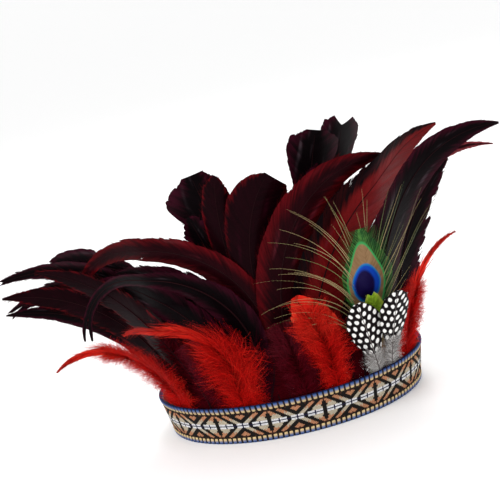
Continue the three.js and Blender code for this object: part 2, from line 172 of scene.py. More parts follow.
# How feathers are dressed. vane: share of the length where the vane starts; ends and end: single barb
# ends past each edge, and their length in mm; shaft and tip: radius of the quill in mm; stop: share of
# the length where it ends. Then the fluff: how many barbs; reach: their length as a share of the vane's
# half width; thick, swell and least: their width, rise and least length in mm; steep and flat: their
# angles from the quill in degrees; clump: how far they hold together; wild: how unevenly they curl;
# crowd: the power that gathers them at the foot.
DRESSES = by_name(table("""
name    vane ends end shaft tip  stop fluff reach thick swell least steep flat clump wild crowd
tail    0.03 130  2.2 0.8   0.08 0.98 470   1.25  0.6   1.5   14    25    100  0.6   0.4  1.5
hackle  0.3  90   3   0.6   0.1  0.98 2300  1.2   0.4   7     16    20    115  0.75  0.55 1
down    0.35 0    0   0.6   0.1  0.98 2200  1.2   0.46  6     15    30    105  0.8   0.5  1
spotted 0.05 90   1.2 0.45  0.1  0.98 480   1.4   0.26  2     11    30    105  0.6   0.5  1
eye     0.12 260  5   0.7   0.15 0.45 0     0     0     0     0     0     0    0     0    0
""", "end", "shaft", "tip", "thick", "swell", "least"))

# The feathers, as the frame has them: root in degrees round the band, long and wide as shares of the
# kind's sizes, lean and bend in degrees, late the power that delays the bend. finish: its dye;
# fray: how far its locks part; twist: how far its right edge turns back, as a share of its room;
# fork: share of the length where its tip splits; downy: share of the length that is down at its foot;
# notch: share of the length at its tip where the quill has no barbs.
FEATHERS = table("""
name                       kind    root  long wide lean bend late layer finish   fray twist fork downy notch
spotted_feather_right      spotted 47    1.2  0.95 8    -2   1    0     spotted  0.1  0     1    0.3   0
spotted_feather_left       spotted 38.5  1.12 1.05 -6   -4   1    1     spotted  0.1  0     1    0.2   0
lime_feather               spotted 43    1.18 0.65 0    -6   1    3     lime     0.2  0     1    0     0.06
peacock_eye_feather        eye     34    1.2  0.8  12   -16  1    4     eye      0.1  0     1    0     0
red_hackle_right           hackle  60    0.67 0.8  12   74   2    6     scarlet  0.3  0     1    0.5   0
red_hackle_middle          hackle  -22   0.87 1.2  3    -142 1.6  3     scarlet  0.5  0     1    0.4   0
red_hackle_left            hackle  -58   0.79 0.85 4    -134 0.8  4     scarlet  0.3  0     1    0.6   0
red_down_feather           down    17.5  0.54 0.85 0    -24  1    5     scarlet  0.3  0     1    0.75  0
burgundy_down_feather      down    4     0.4  0.8  -4   -4   1    7     wine     0.3  0     1    1     0
burgundy_down_feather_left down    -29   0.38 0.8  -8   -20  1    8     wine     0.3  0     1    1     0
forked_tail_feather        slender -15.5 1.09 1    20   -196 1.2  10    black    0.2  0.3   0.9  0.2   0
red_sickle_feather         sickle  10    1.05 1.6  2    80   1.2  10    red      0.2  0.4   1    0.2   0
left_tail_feather_1        sickle  -38.5 0.78 1    -14  -60  1    11    maroon   0.5  -0.4  1    0.35  0
burgundy_sickle_feather    sickle  1     1    1.4  -1   108  2.2  11    burgundy 0.2  -0.5  1    0.2   0
left_sickle_feather        sickle  -10.5 1.14 0.85 23   -174 1.2  12    burgundy 0.3  0.4   0.9  0.2   0
left_tail_feather_2        sickle  -26   0.75 1.1  6    -118 1.2  12    black    0.4  0.3   0.85 0.35  0
right_sickle_feather       sickle  40.5  1.03 1.3  7    92   1.6  12    black    0.2  0.4   1    0.2   0
left_tail_feather_3        sickle  -19   0.72 1.3  8    -110 1.4  13    black    0.5  -0.3  1    0.42  0
middle_tail_feather_1      hooked  -2.5  0.8  1.5  -6   52   3    13    maroon   0.1  0.5   1    0.25  0
right_tail_feather_1       sickle  53    0.7  1.35 12   44   1.4  15    black    0.7  0.3   1    0.3   0
left_tail_feather_4        sickle  -32.5 1.03 0.7  4    -108 0.8  14    black    0.5  0.4   1    0.28  0.05
middle_tail_feather_2      broad   -7    0.8  0.9  -8   20   3    14    maroon   0.4  -0.5  1    0.25  0
right_tail_feather_2       sickle  31    1.02 0.6  8    100  1.5  14    pink     0.5  -0.4  1    0.2   0
left_tail_feather_5        sickle  -50   0.8  1    -14  -72  0.8  15    maroon   0.5  0.4   1    0.2   0
middle_tail_feather_3      broad   -13   0.68 1.3  -2   -18  1.4  15    black    0.8  0.4   1    0.3   0
left_tail_feather_6        sickle  -42   0.85 0.8  -2   -84  0.8  16    black    0.6  -0.4  0.9  0.2   0
middle_tail_feather_4      broad   8     0.76 1.1  9    10   1    16    black    0.7  0.3   1    0.2   0
right_tail_feather_3       sickle  25    0.68 1.3  10   22   1    16    black    0.3  -0.3  1    0.3   0
left_tail_feather_7        broad   -35.5 0.84 0.9  12   -108 0.9  17    black    0.4  0.3   1    0.2   0.05
high_tail_feather_1        spoon   13.5  0.86 1.6  2    20   1.4  17    black    0.3  0.6   1    0.2   0
left_tail_feather_8        sickle  -55   0.74 0.7  -16  -72  0.7  18    black    0.4  0.3   1    0.2   0
middle_tail_feather_5      swept   -5    0.8  1.75 -8   -4   1    18    black    0.25 0.5   1    0.2   0
left_tail_feather_9        sickle  -46   0.92 0.8  6    -130 0.9  19    black    0.4  0.4   0.9  0.2   0.05
high_tail_feather_2        spoon   21.5  0.87 1.35 5    22   1.4  19    black    0.3  -0.6  1    0.2   0.04
""")

# The loose strands of the eye feather. at: share of the quill where one leaves it; long: share of
# HERL_LENGTH; lean and bend as a feather's.
HERL_LENGTH = 78 * MM
HERLS = table("""
at   long lean bend
0.1  1.1  -12  -84
0.14 1.35 -10  -84
0.18 1.4  -6   -68
0.24 1.35 -4   -52
0.3  1.35 -2   -36
0.38 1.2  2    -20
0.46 1.2  4    -6
0.4  1.3  12   10
0.3  1.3  15   22
0.2  1.35 18   36
0.12 0.8  22   24
""")

# The ribbon's chart as drawn: a quarter of one repeat, from the middle row up and from the
# middle of a crossing to the middle between two lozenges. Each letter is the thread that shows.
CHART = (
    "NNNNNNNNNNNNNNNNNNNKK",
    "NWWWWKKKWWWWWNWWWWWKK",
    "NWWWWKKKWWWWWNWWWWWKK",
    "KKCCCCKKKKKCCCCCCCCKK",
    "KKKCCCCKKKKKCCCCCCCKK",
    "KKKKCCCCKKKKCCCCCCKKK",
    "KKKKKCCCCKKKKCCCCCKKK",
    "SKKKKKCSCSKKKKCSCSSKK",
    "SSKKKKKSCSSKKKKSSSSKK",
    "SSSKKKKKSSSSKKKKSSSKK",
    "SSSSKKKKKSSSSKKKKSSSK",
    "BSSBKKKKKKSSSSKKKKSSB",
    "BBBKKKKBKKKBSBKKKKBBB",
    "KBKKBKKBKKBKKBKKBKKBK",
)
REPEATS = 14
# Where the middle of one crossing lies, from the front middle towards +X
CROSSING = -2.75 * MM


def colour_setting(label, note, value):
    """A colour that a user can change."""
    return bpy.props.FloatVectorProperty(
        name=label, description=note, subtype="COLOR", size=3, min=0, max=1, default=value
    )


def length_setting(label, note, value):
    """A length that a user can change."""
    return bpy.props.FloatProperty(
        name=label, description=note, unit="LENGTH", min=0, precision=5, default=value
    )


class RibbonSettings(bpy.types.PropertyGroup):
    """Sizes and threads of the woven ribbon."""

    border: length_setting("Border", "Width of the overcast border along each edge", 4.9 * MM)
    stitch_pitch: length_setting("Stitch pitch", "From one border stitch to the next", 4 * MM)
    stitch_width: length_setting("Stitch width", "Width of one bundle of border thread", 2.7 * MM)
    thread_rise: length_setting("Thread rise", "How far a float stands out of the ribbon", 0.3 * MM)
    edge_cord: length_setting("Edge cord", "Radius of the cord along each edge", 0.5 * MM)
    black: colour_setting("Black", "Ground thread", (0.006, 0.0055, 0.005))
    brown: colour_setting("Brown", "Thread beside the borders", (0.06, 0.02, 0.012))
    navy: colour_setting("Navy", "Edge cord and thread beside the white blocks", (0.004, 0.007, 0.055))
    white: colour_setting("White", "Thread of the middle blocks", (0.92, 0.93, 0.95))
    cream: colour_setting("Cream", "Inner thread of the motifs", (0.62, 0.54, 0.4))
    salmon: colour_setting("Salmon", "Outer thread of the motifs", (0.6, 0.27, 0.14))
    gold: colour_setting("Gold", "Inner half of the border stitches", (0.7, 0.52, 0.26))
    blue: colour_setting("Blue", "Outer half of the border stitches", (0.05, 0.12, 0.34))


class FeatherSettings(bpy.types.PropertyGroup):
    """Dyes of the feathers, and the colours of the highlights painted on them."""

    black: colour_setting("Black", "Black feathers", (0.0024, 0.0008, 0.0015))
    # Plum: dye of the black feathers' edges and of the black and maroon down, and the highlight painted on
    # the maroon feathers
    plum: colour_setting("Plum", "Edges of the black feathers", (0.03, 0.002, 0.008))
    burgundy: colour_setting("Burgundy", "Middle of the dark red feathers", (0.013, 0.0008, 0.0022))
    maroon: colour_setting("Maroon", "Darkest red feathers", (0.0075, 0.0005, 0.0018))
    crimson: colour_setting("Crimson", "Edges of the dark red feathers", (0.08, 0.002, 0.004))
    wine: colour_setting("Wine", "Dark red down", (0.085, 0.0015, 0.006))
    red: colour_setting("Red", "Long red feather", (0.13, 0.005, 0.006))
    scarlet: colour_setting("Scarlet", "Red hackles and down", (0.58, 0.007, 0.005))
    # Orange is a painted highlight: the soft finish paints it on the ends of the brightest scarlet barbs and
    # along the thin tip
    orange: colour_setting("Orange", "Ends of the scarlet barbs", (0.8, 0.05, 0.025))
    pink: colour_setting("Pink", "Faded tips", (0.25, 0.04, 0.05))
    lime: colour_setting("Lime", "Small lime feather", (0.3, 0.5, 0.03))
    leaf: colour_setting("Leaf", "Green barbs of the eye feather", (0.02, 0.16, 0.035))
    bronze: colour_setting("Bronze", "Field round the eye", (0.2, 0.11, 0.05))
    olive: colour_setting("Olive", "Loose strands of the eye feather", (0.13, 0.1, 0.04))
    peacock_blue: colour_setting("Peacock blue", "Rim of the eye", (0.003, 0.05, 0.42))
    violet: colour_setting("Violet", "Middle of the eye", (0.006, 0.002, 0.045))
    spot: colour_setting("Spot", "Spots of the spotted feathers", (0.85, 0.84, 0.82))
    ash: colour_setting("Ash", "Down of the spotted feathers", (0.3, 0.26, 0.25))
    # Steel and rose are painted highlights: the gleam painted on the black and red feathers, and rose also on
    # the ends of the wine down
    steel: colour_setting("Steel", "Gleam of the black feathers", (0.066, 0.045, 0.056))
    rose: colour_setting("Rose", "Gleam of the red feathers", (0.13, 0.018, 0.028))
    horn: colour_setting("Horn", "Quills", (0.014, 0.004, 0.005))


class StageSettings(bpy.types.PropertyGroup):
    """Floor, lights and camera."""

    floor: colour_setting("Floor", "Colour of the floor", (0.97, 0.97, 0.97))
    distance: length_setting("Distance", "From the camera to the middle of the head opening", 1.1)
    elevation: bpy.props.FloatProperty(
        name="Elevation", description="Height of the camera", subtype="ANGLE", default=math.radians(18.5)
    )
    roll: bpy.props.FloatProperty(
        name="Roll", description="How far the picture is tilted", subtype="ANGLE", default=math.radians(13)
    )


def smooth_outline(along, half):
    """An outline's straight lines with their corners rounded."""
    fine = np.linspace(0, 1, OUTLINE_STEPS + 1)
    reach = OUTLINE_BLUR // 2
    padded = np.pad(np.interp(fine, along, half), reach, mode="reflect", reflect_type="odd")
    return np.convolve(padded, np.ones(OUTLINE_BLUR) / OUTLINE_BLUR, "valid")


SMOOTH = {
    (kind, side): smooth_outline(OUTLINES[kind, "along"], half)
    for (kind, name), half in OUTLINES.items()
    for side in {"along": (), "left": (-1,), "right": (1,), "both": (-1, 1)}[name]
}
# The least half width of a vane, as a share of its widest
LEAST_HALF = 0.02
# How far to each side the ribbon's slope is measured
SLOPE_REACH = WING_SWEEP / 3


def half_width(feather, share, side):
    """Half the width of a feather's vane to one side, at shares of its length."""
    fine = np.linspace(0, 1, OUTLINE_STEPS + 1)
    widest = feather["wide"] * KINDS[feather["kind"]]["width"] / 2
    return widest * np.maximum(np.interp(share, fine, SMOOTH[feather["kind"], side]), LEAST_HALF)


def face_depth(x, z):
    """The ribbon's inner face as a depth at x, carried on as straight wings past the last feathers."""
    flare = np.minimum(z, BAND_HEIGHT) * math.tan(RIBBON_FLARE)
    a = HEAD_HALF_LENGTH + flare
    b = HEAD_HALF_WIDTH + flare
    last = a * math.sin(FRONT_HALF)
    past = np.maximum(0, np.abs(x) - last)
    reached = np.minimum(np.abs(x), last)
    wing = b / a * math.tan(FRONT_HALF) * WING_SWEEP * (1 - np.exp(-past / WING_SWEEP))
    return wing - b * np.sqrt(1 - (reached / a) ** 2)


def layer_point(layer, x, z, inwards):
    """Points of one of the fan's layers at x and z, moved inwards by some depth."""
    height = np.maximum(0, z - FAN_START)
    lean = math.radians(FRONT_LEAN + (BACK_LEAN - FRONT_LEAN) * layer / LAST_LAYER)
    climbed = height**2 / (height + LEAN_IN_OVER)
    curl = TIP_CURL * (height / CURL_HEIGHT) ** 2
    risen = np.clip((z - FAN_START) / SEWN_DEPTH + 1, 0, 1)
    start = SEAM_GAP + QUILL_THICKNESS / 2 + risen * TUFT_DEPTH * layer / LAST_LAYER
    depth = start + climbed * math.tan(lean) - curl + inwards
    rise = (face_depth(x + SLOPE_REACH, z) - face_depth(x - SLOPE_REACH, z)) / (2 * SLOPE_REACH)
    return np.stack([x, face_depth(x, z) + np.sqrt(1 + rise**2) * depth, z], axis=-1)


ROOM_AT_BAND = 0.25 * MM
ROOM_GROWTH = 0.042
MOST_ROOM = 6.5 * MM


def room_at(z):
    """How far a feather may stand out of its layer at a height without touching the next layer."""
    return np.clip(ROOM_AT_BAND + ROOM_GROWTH * (z - FAN_START), ROOM_AT_BAND, MOST_ROOM)


class Quill:
    """The line that a feather's quill follows in the fan, by shares of its length; below 0 is its foot."""

    STEPS = 240

    def __init__(self, feather):
        self.layer = feather["layer"]
        self.length = feather["long"] * KINDS[feather["kind"]]["length"]
        sine = math.sin(math.radians(feather["root"]))
        x = (HEAD_HALF_LENGTH + TOP_FLARE) * sine
        self.trace(x, FAN_START, feather["lean"], feather["bend"], feather["late"])
        low = FAN_START - SEWN_DEPTH
        foot_x = (HEAD_HALF_LENGTH + low * math.tan(RIBBON_FLARE)) * sine
        self.share = np.insert(self.share, 0, -SEWN_DEPTH / self.length)
        self.x = np.insert(self.x, 0, foot_x)
        self.z = np.insert(self.z, 0, low)
        self.turn = np.insert(self.turn, 0, 0)

    def trace(self, x, z, lean, bend, late):
        """Walks the line in short steps, turning from lean by bend."""
        self.share = np.linspace(0, 1, self.STEPS + 1)
        middle = (self.share[1:] + self.share[:-1]) / 2
        turn = np.radians(lean + bend * middle**late)
        stride = self.length / self.STEPS
        self.x = x + stride * np.append(0, np.cumsum(np.sin(turn)))
        self.z = z + stride * np.append(0, np.cumsum(np.cos(turn)))
        self.turn = np.radians(lean + bend * self.share**late)

    def spot(self, share, across):
        """x and z of points beside the line."""
        turn = np.interp(share, self.share, self.turn)
        x = np.interp(share, self.share, self.x) + across * np.cos(turn)
        z = np.interp(share, self.share, self.z) - across * np.sin(turn)
        return x, z

    def place(self, share, across, inwards):
        """Points beside the line, on the feather's layer."""
        share, across, inwards = np.broadcast_arrays(share, across, inwards)
        x, z = self.spot(share, across)
        return layer_point(self.layer, x, z, inwards)


class Herl(Quill):
    """The line of one loose strand, which leaves a feather's quill."""

    def __init__(self, quill, at, long, lean, bend, late):
        self.layer = quill.layer
        self.length = long * HERL_LENGTH
        x, z = quill.spot(np.array(at), np.array(0.0))
        self.trace(float(x), float(z), lean, bend, late)


VANE, DOWN, HORN = 0, 1, 2


def grid_faces(index):
    """The faces of sheets of points, given the points' numbers in rows and columns."""
    near, far = index[..., :-1, :], index[..., 1:, :]
    return np.stack([near[..., :-1], near[..., 1:], far[..., 1:], far[..., :-1]], -1)


class Plumage:
    """Points and faces gathered for one mesh, with the values that its finish reads at each point.
    place: across and along the feather, and share of the way to the edge; tone: a shade, how far up
    the quill the barb starts, and which stuff it is; run: share of the feather's length."""

    def __init__(self):
        self.points, self.quads, self.triangles = [], [], []
        self.place, self.tone, self.run = [], [], []
        self.total = 0

    def add(self, points, quads=(), triangles=(), across=0, along=0, edge=0, shade=0, barb=0, stuff=VANE,
            run=0):
        """Adds faces; the values are single or one for each point."""
        held = (across, along, edge, shade, barb, stuff, run)
        spread = [np.broadcast_to(value, points.shape[:-1]).ravel() for value in held]
        self.points.append(points.reshape(-1, 3))
        self.quads.append(np.asarray(quads, int).reshape(-1, 4) + self.total)
        self.triangles.append(np.asarray(triangles, int).reshape(-1, 3) + self.total)
        self.place.append(np.stack(spread[:3], -1))
        self.tone.append(np.stack(spread[3:6], -1))
        self.run.append(spread[6])
        self.total += points.reshape(-1, 3).shape[0]

    def add_grid(self, points, joined=None, wrap=False, **values):
        """Adds rows of points as a sheet; joined says of each row whether it is joined to the next."""
        rows, columns = points.shape[:2]
        index = np.arange(rows * columns).reshape(rows, columns)
        if wrap:
            index = np.hstack([index, index[:, :1]])
        quads = grid_faces(index)
        self.add(points, quads=quads if joined is None else quads[joined], **values)

    def finish(self, name, material, slot, *nodes):
        """Makes the mesh and its object, which rides on the one body and stands for the nodes."""
        points = np.concatenate(self.points)
        faces = np.concatenate(self.quads).tolist() + np.concatenate(self.triangles).tolist()
        mesh = bpy.data.meshes.new(name)
        mesh.from_pydata(points, [], faces)
        for title, rows in (("place", self.place), ("tone", self.tone)):
            values = mesh.attributes.new(title, "FLOAT_VECTOR", "POINT")
            values.data.foreach_set("vector", np.concatenate(rows).astype(np.float32).ravel())
        values = mesh.attributes.new("run", "FLOAT", "POINT")
        values.data.foreach_set("value", np.concatenate(self.run).astype(np.float32))
        mesh.shade_smooth()
        mesh.materials.append(material)
        piece = bpy.data.objects.new(name, mesh)
        bpy.context.scene.collection.objects.link(piece)
        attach(piece, "root")
        if nodes:
            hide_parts(*nodes)
        return piece


class Wire:
    """A socket in a node tree. Sums on it add Math nodes, and its node method adds any other node."""

    def __init__(self, tree, socket=None):
        self.tree = tree
        self.socket = socket

    def node(self, kind, settings, values, out=0):
        """Adds a node: its settings are set first, then the values or links of its sockets."""
        made = self.tree.nodes.new(kind)
        for name, value in settings.items():
            setattr(made, name, value)
        for name, value in values.items():
            if isinstance(value, Wire):
                self.tree.links.new(value.socket, made.inputs[name])
            else:
                made.inputs[name].default_value = value
        return Wire(self.tree, made.outputs[out] if len(made.outputs) else None)

    def math(self, operation, first, second=0.0):
        return self.node("ShaderNodeMath", {"operation": operation}, {0: first, 1: second})

    def __add__(self, other):
        return self.math("ADD", self, other)

    __radd__ = __add__

    def __mul__(self, other):
        return self.math("MULTIPLY", self, other)

    __rmul__ = __mul__

    def __sub__(self, other):
        return self.math("SUBTRACT", self, other)

    def __rsub__(self, other):
        return self.math("SUBTRACT", other, self)

    def __truediv__(self, other):
        return self.math("DIVIDE", self, other)

    def __mod__(self, other):
        return self.math("FLOORED_MODULO", self, other)

    def __pow__(self, other):
        return self.math("POWER", self, other)

    def __gt__(self, other):
        return self.math("GREATER_THAN", self, other)

    def __abs__(self):
        return self.math("ABSOLUTE", self)

    def floor(self):
        return self.math("FLOOR", self)

    def smooth(self, low, high):
        """0 below low, 1 above high and a smooth step between them."""
        settings = {"interpolation_type": "SMOOTHSTEP"}
        return self.node("ShaderNodeMapRange", settings, {"Value": self, "From Min": low, "From Max": high})

    def vector(self, x, y, z):
        return self.node("ShaderNodeCombineXYZ", {}, {"X": x, "Y": y, "Z": z})

    def mix(self, share, first, second):
        """Mixes two colours."""
        colours = {0: share, 6: as_colour(first), 7: as_colour(second)}
        return self.node("ShaderNodeMix", {"data_type": "RGBA"}, colours, out=2)

    def noise(self, where, scale, detail=2.0):
        return self.node("ShaderNodeTexNoise", {}, {"Vector": where, "Scale": scale, "Detail": detail})

    def held(self, title, out):
        """What the mesh holds at each point, as a colour (out 0), a vector (1) or a number (2)."""
        settings = {"attribute_type": "GEOMETRY", "attribute_name": title}
        return self.node("ShaderNodeAttribute", settings, {}, out=out)

    def values(self, title):
        """The three numbers of a vector that the mesh holds."""
        held = self.held(title, 1)
        return [self.node("ShaderNodeSeparateXYZ", {}, {0: held}, out=axis) for axis in range(3)]


def as_colour(value):
    """A colour with its alpha, or the wire that brings one."""
    return value if isinstance(value, Wire) else (*value[:3], 1.0)


def new_material(name):
    """An empty material and the wire that its nodes are added with."""
    material = bpy.data.materials.new(name)
    material.use_nodes = True
    material.node_tree.nodes.clear()
    return material, Wire(material.node_tree)


def close_material(wire, values):
    """Ends a material in a Principled surface with these sockets."""
    surface = wire.node("ShaderNodeBsdfPrincipled", {}, values)
    wire.node("ShaderNodeOutputMaterial", {}, {"Surface": surface})


def bump(wire, height, distance):
    return wire.node("ShaderNodeBump", {}, {"Height": height, "Distance": distance, "Strength": 1.0})


# What the mesh's stuff reads as: a vane below the first, down between the two, horn above the second
IS_DOWN = 0.5
IS_HORN = 1.5

# Noise drawn out along the barbs: turns to the metre of quill, to the edge, and from lock to lock
STREAKS_ALONG = 260.0
STREAKS_OUT = 1.4
STREAKS_APART = 9.0
STREAK_DETAIL = 3.0
STREAK_BAND = (0.3, 0.7)
BARB_DEPTH = 0.06 * MM
FEATHER_GLOSS = 0.01


def darker(colour, share):
    """A colour at a share of its brightness."""
    return tuple(part * share for part in colour)


class Fibre:
    """A feather's new material, with what its mesh holds: places on the feather, shades, and streaks
    along the barbs, from 0 to 1."""

    def __init__(self, name):
        self.material, self.wire = new_material(name)
        self.across, self.along, self.edge = self.wire.values("place")
        self.shade, self.barb, self.stuff = self.wire.values("tone")
        self.run = self.wire.held("run", 2)
        places = (self.barb * STREAKS_ALONG, self.edge * STREAKS_OUT, self.shade * STREAKS_APART)
        self.streak = self.wire.noise(self.wire.vector(*places), 1.0, STREAK_DETAIL).smooth(*STREAK_BAND)

    def lines(self, number, waver=0.0):
        """Fine lines along the barbs, so many to the metre of quill, from -1 to 1."""
        return self.wire.math("SINE", self.barb * (2 * math.pi * number) + waver)

    def close(self, colour, rough, height, more=None):
        """Ends the material, with a relief along its barbs."""
        values = {
            "Base Color": colour, "Roughness": rough, "Normal": bump(self.wire, height, BARB_DEPTH),
            "Specular IOR Level": FEATHER_GLOSS,
        }
        close_material(self.wire, {**values, **(more or {})})
        return self.material


# What a dyed feather is made of; gleam is the colour of the highlight painted on it. rim_from and rim_to:
# shares of the way to the edge over which the dye changes, or where the soft finish paints its highlight in
# the rim's colour; side: the side that changes, 0 for both; rough: gloss of the vane; shine: strength of its
# painted gleam.
FINISHES = by_name(table("""
name     core     rim      down    gleam  rim_from rim_to side rough shine
black    black    plum     plum    steel  0.45     1.05   0    0.4   0.8
burgundy burgundy crimson  wine    rose   0.35     1.05   0    0.4   0.5
maroon   maroon   crimson  wine    plum   0.8      1.1    0    0.4   0.5
red      red      black    wine    rose   0.35     0.7    -1   0.42  0.35
pink     burgundy pink     wine    rose   0.1      0.8    0    0.5   0.4
scarlet  scarlet  orange   scarlet orange 0.5      1.0    0    0.5   0
wine     wine     rose     wine    rose   0.4      1.0    0    0.6   0
"""))
SLOTS = {
    "black": "black_feather", "burgundy": "burgundy_feather", "maroon": "burgundy_feather",
    "wine": "burgundy_feather", "red": "red_feather", "pink": "red_feather", "scarlet": "red_feather",
    "spotted": "spotted_feather", "lime": "lime_feather", "eye": "peacock_feather",
}

# The dyed finish. Its rim wavers with the streaks, its locks differ in shade, and a gleam is painted on it in
# bands, so many to the metre across and along, which fade towards the edge and the foot.
BARB_LINES = 900.0
BARB_LINE_RELIEF = 0.5
RIM_WAVER = 0.2
LOCK_SHADE = 0.6
LOCK_SHADES = (0.1, 1.0)
LOCK_DARKEST = 0.25
LOCK_DARKENS = 0.45
GLEAM_ACROSS = 160.0
GLEAM_ALONG = 22.0
GLEAM_DETAIL = 1.0
GLEAM_BANDS = (0.57, 0.75)
GLEAM_EDGE = (0.5, 1.0)
GLEAM_RUN = (0.3, 0.5)
GLEAM_STREAKS = 0.8
FLUFF_EDGE = (0.2, 1.0)
FLUFF_DARKEST = 0.5
FLUFF_ROUGHER = 0.25
STREAK_ROUGH = 0.12
COAT = 0.025
COAT_ROUGH = 0.22


def dyed_finish(row, dyes):
    """A dyed feather: its vane changes dye towards the edge, in streaks along the barbs, and has a
    highlight painted on in long soft bands."""
    fibre = Fibre(f"{row['name']}_feather_finish")
    wire, edge, shade, streak = fibre.wire, fibre.edge, fibre.shade, fibre.streak
    core, rim, down, gleam = (getattr(dyes, row[part]) for part in ("core", "rim", "down", "gleam"))
    rim_share = (edge + (streak - 0.5) * RIM_WAVER).smooth(row["rim_from"], row["rim_to"])
    if row["side"]:
        rim_share = rim_share * (fibre.across * row["side"] > 0)
    vane = wire.mix(rim_share, core, rim)
    dark = 1.0 - (shade * LOCK_SHADE + streak * LOCK_SHADE).smooth(*LOCK_SHADES)
    vane = wire.mix(dark * LOCK_DARKENS, vane, darker(core, LOCK_DARKEST))
    # Painted highlight: the gleam colour in soft bands, faint towards the edge and the foot
    where = wire.vector(fibre.across * GLEAM_ACROSS, fibre.along * GLEAM_ALONG, 0.0)
    bands = wire.noise(where, 1.0, GLEAM_DETAIL)
    shine = bands.smooth(*GLEAM_BANDS) * (1.0 - edge.smooth(*GLEAM_EDGE)) * fibre.run.smooth(*GLEAM_RUN)
    shine = shine * (streak * GLEAM_STREAKS + (1 - GLEAM_STREAKS))
    vane = wire.mix(shine * row["shine"], vane, gleam)
    # Painted shade: the fluff is darker towards the quill, and barbs of low shade stay darker
    fluff = wire.mix(edge.smooth(*FLUFF_EDGE) * shade, darker(down, FLUFF_DARKEST), down)
    is_down = fibre.stuff > IS_DOWN
    colour = wire.mix(is_down, vane, fluff)
    colour = wire.mix(fibre.stuff > IS_HORN, colour, dyes.horn)
    rough = is_down * FLUFF_ROUGHER + streak * STREAK_ROUGH + (row["rough"] - STREAK_ROUGH / 2)
    coat = {"Coat Weight": (1.0 - is_down) * COAT, "Coat Roughness": COAT_ROUGH}
    return fibre.close(colour, rough, fibre.lines(BARB_LINES) * BARB_LINE_RELIEF + streak, coat)


# The soft finish: barbs are lit towards their ends, a painted shade towards the quill, and by their shade,
# and a highlight in the rim's colour is painted at the ends of the brightest and along the thin tip, which
# darkens.
SOFT_DEEP = 0.1
SOFT_EDGE = (0.0, 0.6)
SOFT_EDGE_LIGHT = 0.3
SOFT_SHADES = (0.12, 0.75)
SOFT_SHADE_LIGHT = 0.7
SOFT_BRIGHT = (0.55, 1.0)
SOFT_THIN = (0.4, 0.7)
SOFT_THIN_RIM = 0.4
SOFT_TIP = (0.55, 0.95)
SOFT_TIP_MOST = 1.1
SOFT_TIP_STREAKS = 0.5
SOFT_QUILL = 0.6
SOFT_ROUGH = 0.15
HACKLE_TIP = 0.7


def soft_finish(row, dyes, tip=0.0):
    """Down and hackles: bright barbs with painted shade towards the quill and a painted highlight at
    their ends. tip: how dark the feather's own tip is."""
    fibre = Fibre(f"{row['name']}_feather_finish")
    wire, edge, shade, streak, run = fibre.wire, fibre.edge, fibre.shade, fibre.streak, fibre.run
    core, rim = (getattr(dyes, row[part]) for part in ("core", "rim"))
    deep = darker(core, SOFT_DEEP)
    # Painted shade: darker towards the quill, and by each barb's shade
    light = edge.smooth(*SOFT_EDGE) * SOFT_EDGE_LIGHT + shade.smooth(*SOFT_SHADES) * SOFT_SHADE_LIGHT
    colour = wire.mix(light, deep, core)
    # Painted highlight: the rim's colour on the ends of the brightest barbs and in streaks along the thin tip
    colour = wire.mix(edge.smooth(row["rim_from"], row["rim_to"]) * shade.smooth(*SOFT_BRIGHT), colour, rim)
    colour = wire.mix(run.smooth(*SOFT_THIN) * streak * SOFT_THIN_RIM, colour, rim)
    dark = run.smooth(*SOFT_TIP) * (SOFT_TIP_MOST - streak * SOFT_TIP_STREAKS) * tip
    colour = wire.mix(dark, colour, deep)
    colour = wire.mix(fibre.stuff > IS_HORN, colour, darker(core, SOFT_QUILL))
    return fibre.close(colour, streak * SOFT_ROUGH + row["rough"], streak)


# Spots of the spotted feathers, in metres: pitch along and across, and half the size of one. Each spot
# fades over the first range of its size, and the dark round it lightens over the second.
SPOT_PITCH = (6.2 * MM, 4.8 * MM)
SPOT_HALF = (2.1 * MM, 1.4 * MM)
SPOT_SWEEP = 0.45
SPOT_WOBBLE = 0.25
SPOT_WOBBLES = 240.0
SPOT_FADE = (0.85, 1.1)
RING_FADE = (1.1, 1.45)
RING_LIGHT = 0.06
GROUND_STREAKS = 0.03
DOWN_DARKEST = 0.45
DOWN_SHADES = (0.2, 0.9)
DOWN_LIGHT = 0.75
SMALL_ROUGH = 0.5
SMALL_STREAK_ROUGH = 0.1


def spotted_finish(dyes):
    """Black with rows of white spots that follow the barbs, over grey down."""
    fibre = Fibre("spotted_feather_finish")
    wire, across, along, streak = fibre.wire, fibre.across, fibre.along, fibre.streak
    wobble = (wire.noise(wire.vector(across, along, 0.0), SPOT_WOBBLES) - 0.5) * SPOT_WOBBLE
    row = (along - abs(across) * SPOT_SWEEP) / SPOT_PITCH[0] + wobble
    odd = row.floor() % 2.0
    column = across / SPOT_PITCH[1] + odd * 0.5 + wobble
    off_row = abs(row % 1.0 - 0.5) * (SPOT_PITCH[0] / SPOT_HALF[0])
    off_column = abs(column % 1.0 - 0.5) * (SPOT_PITCH[1] / SPOT_HALF[1])
    away = (off_row**2.0 + off_column**2.0)**0.5
    ring = (1.0 - away.smooth(*RING_FADE)) * RING_LIGHT
    ground = wire.mix(ring + streak * GROUND_STREAKS, dyes.black, dyes.ash)
    colour = wire.mix(1.0 - away.smooth(*SPOT_FADE), ground, dyes.spot)
    light = fibre.shade.smooth(*DOWN_SHADES) * DOWN_LIGHT
    down = wire.mix(light, darker(dyes.ash, DOWN_DARKEST), dyes.spot)
    colour = wire.mix(fibre.stuff > IS_DOWN, colour, down)
    return fibre.close(colour, streak * SMALL_STREAK_ROUGH + SMALL_ROUGH, streak)


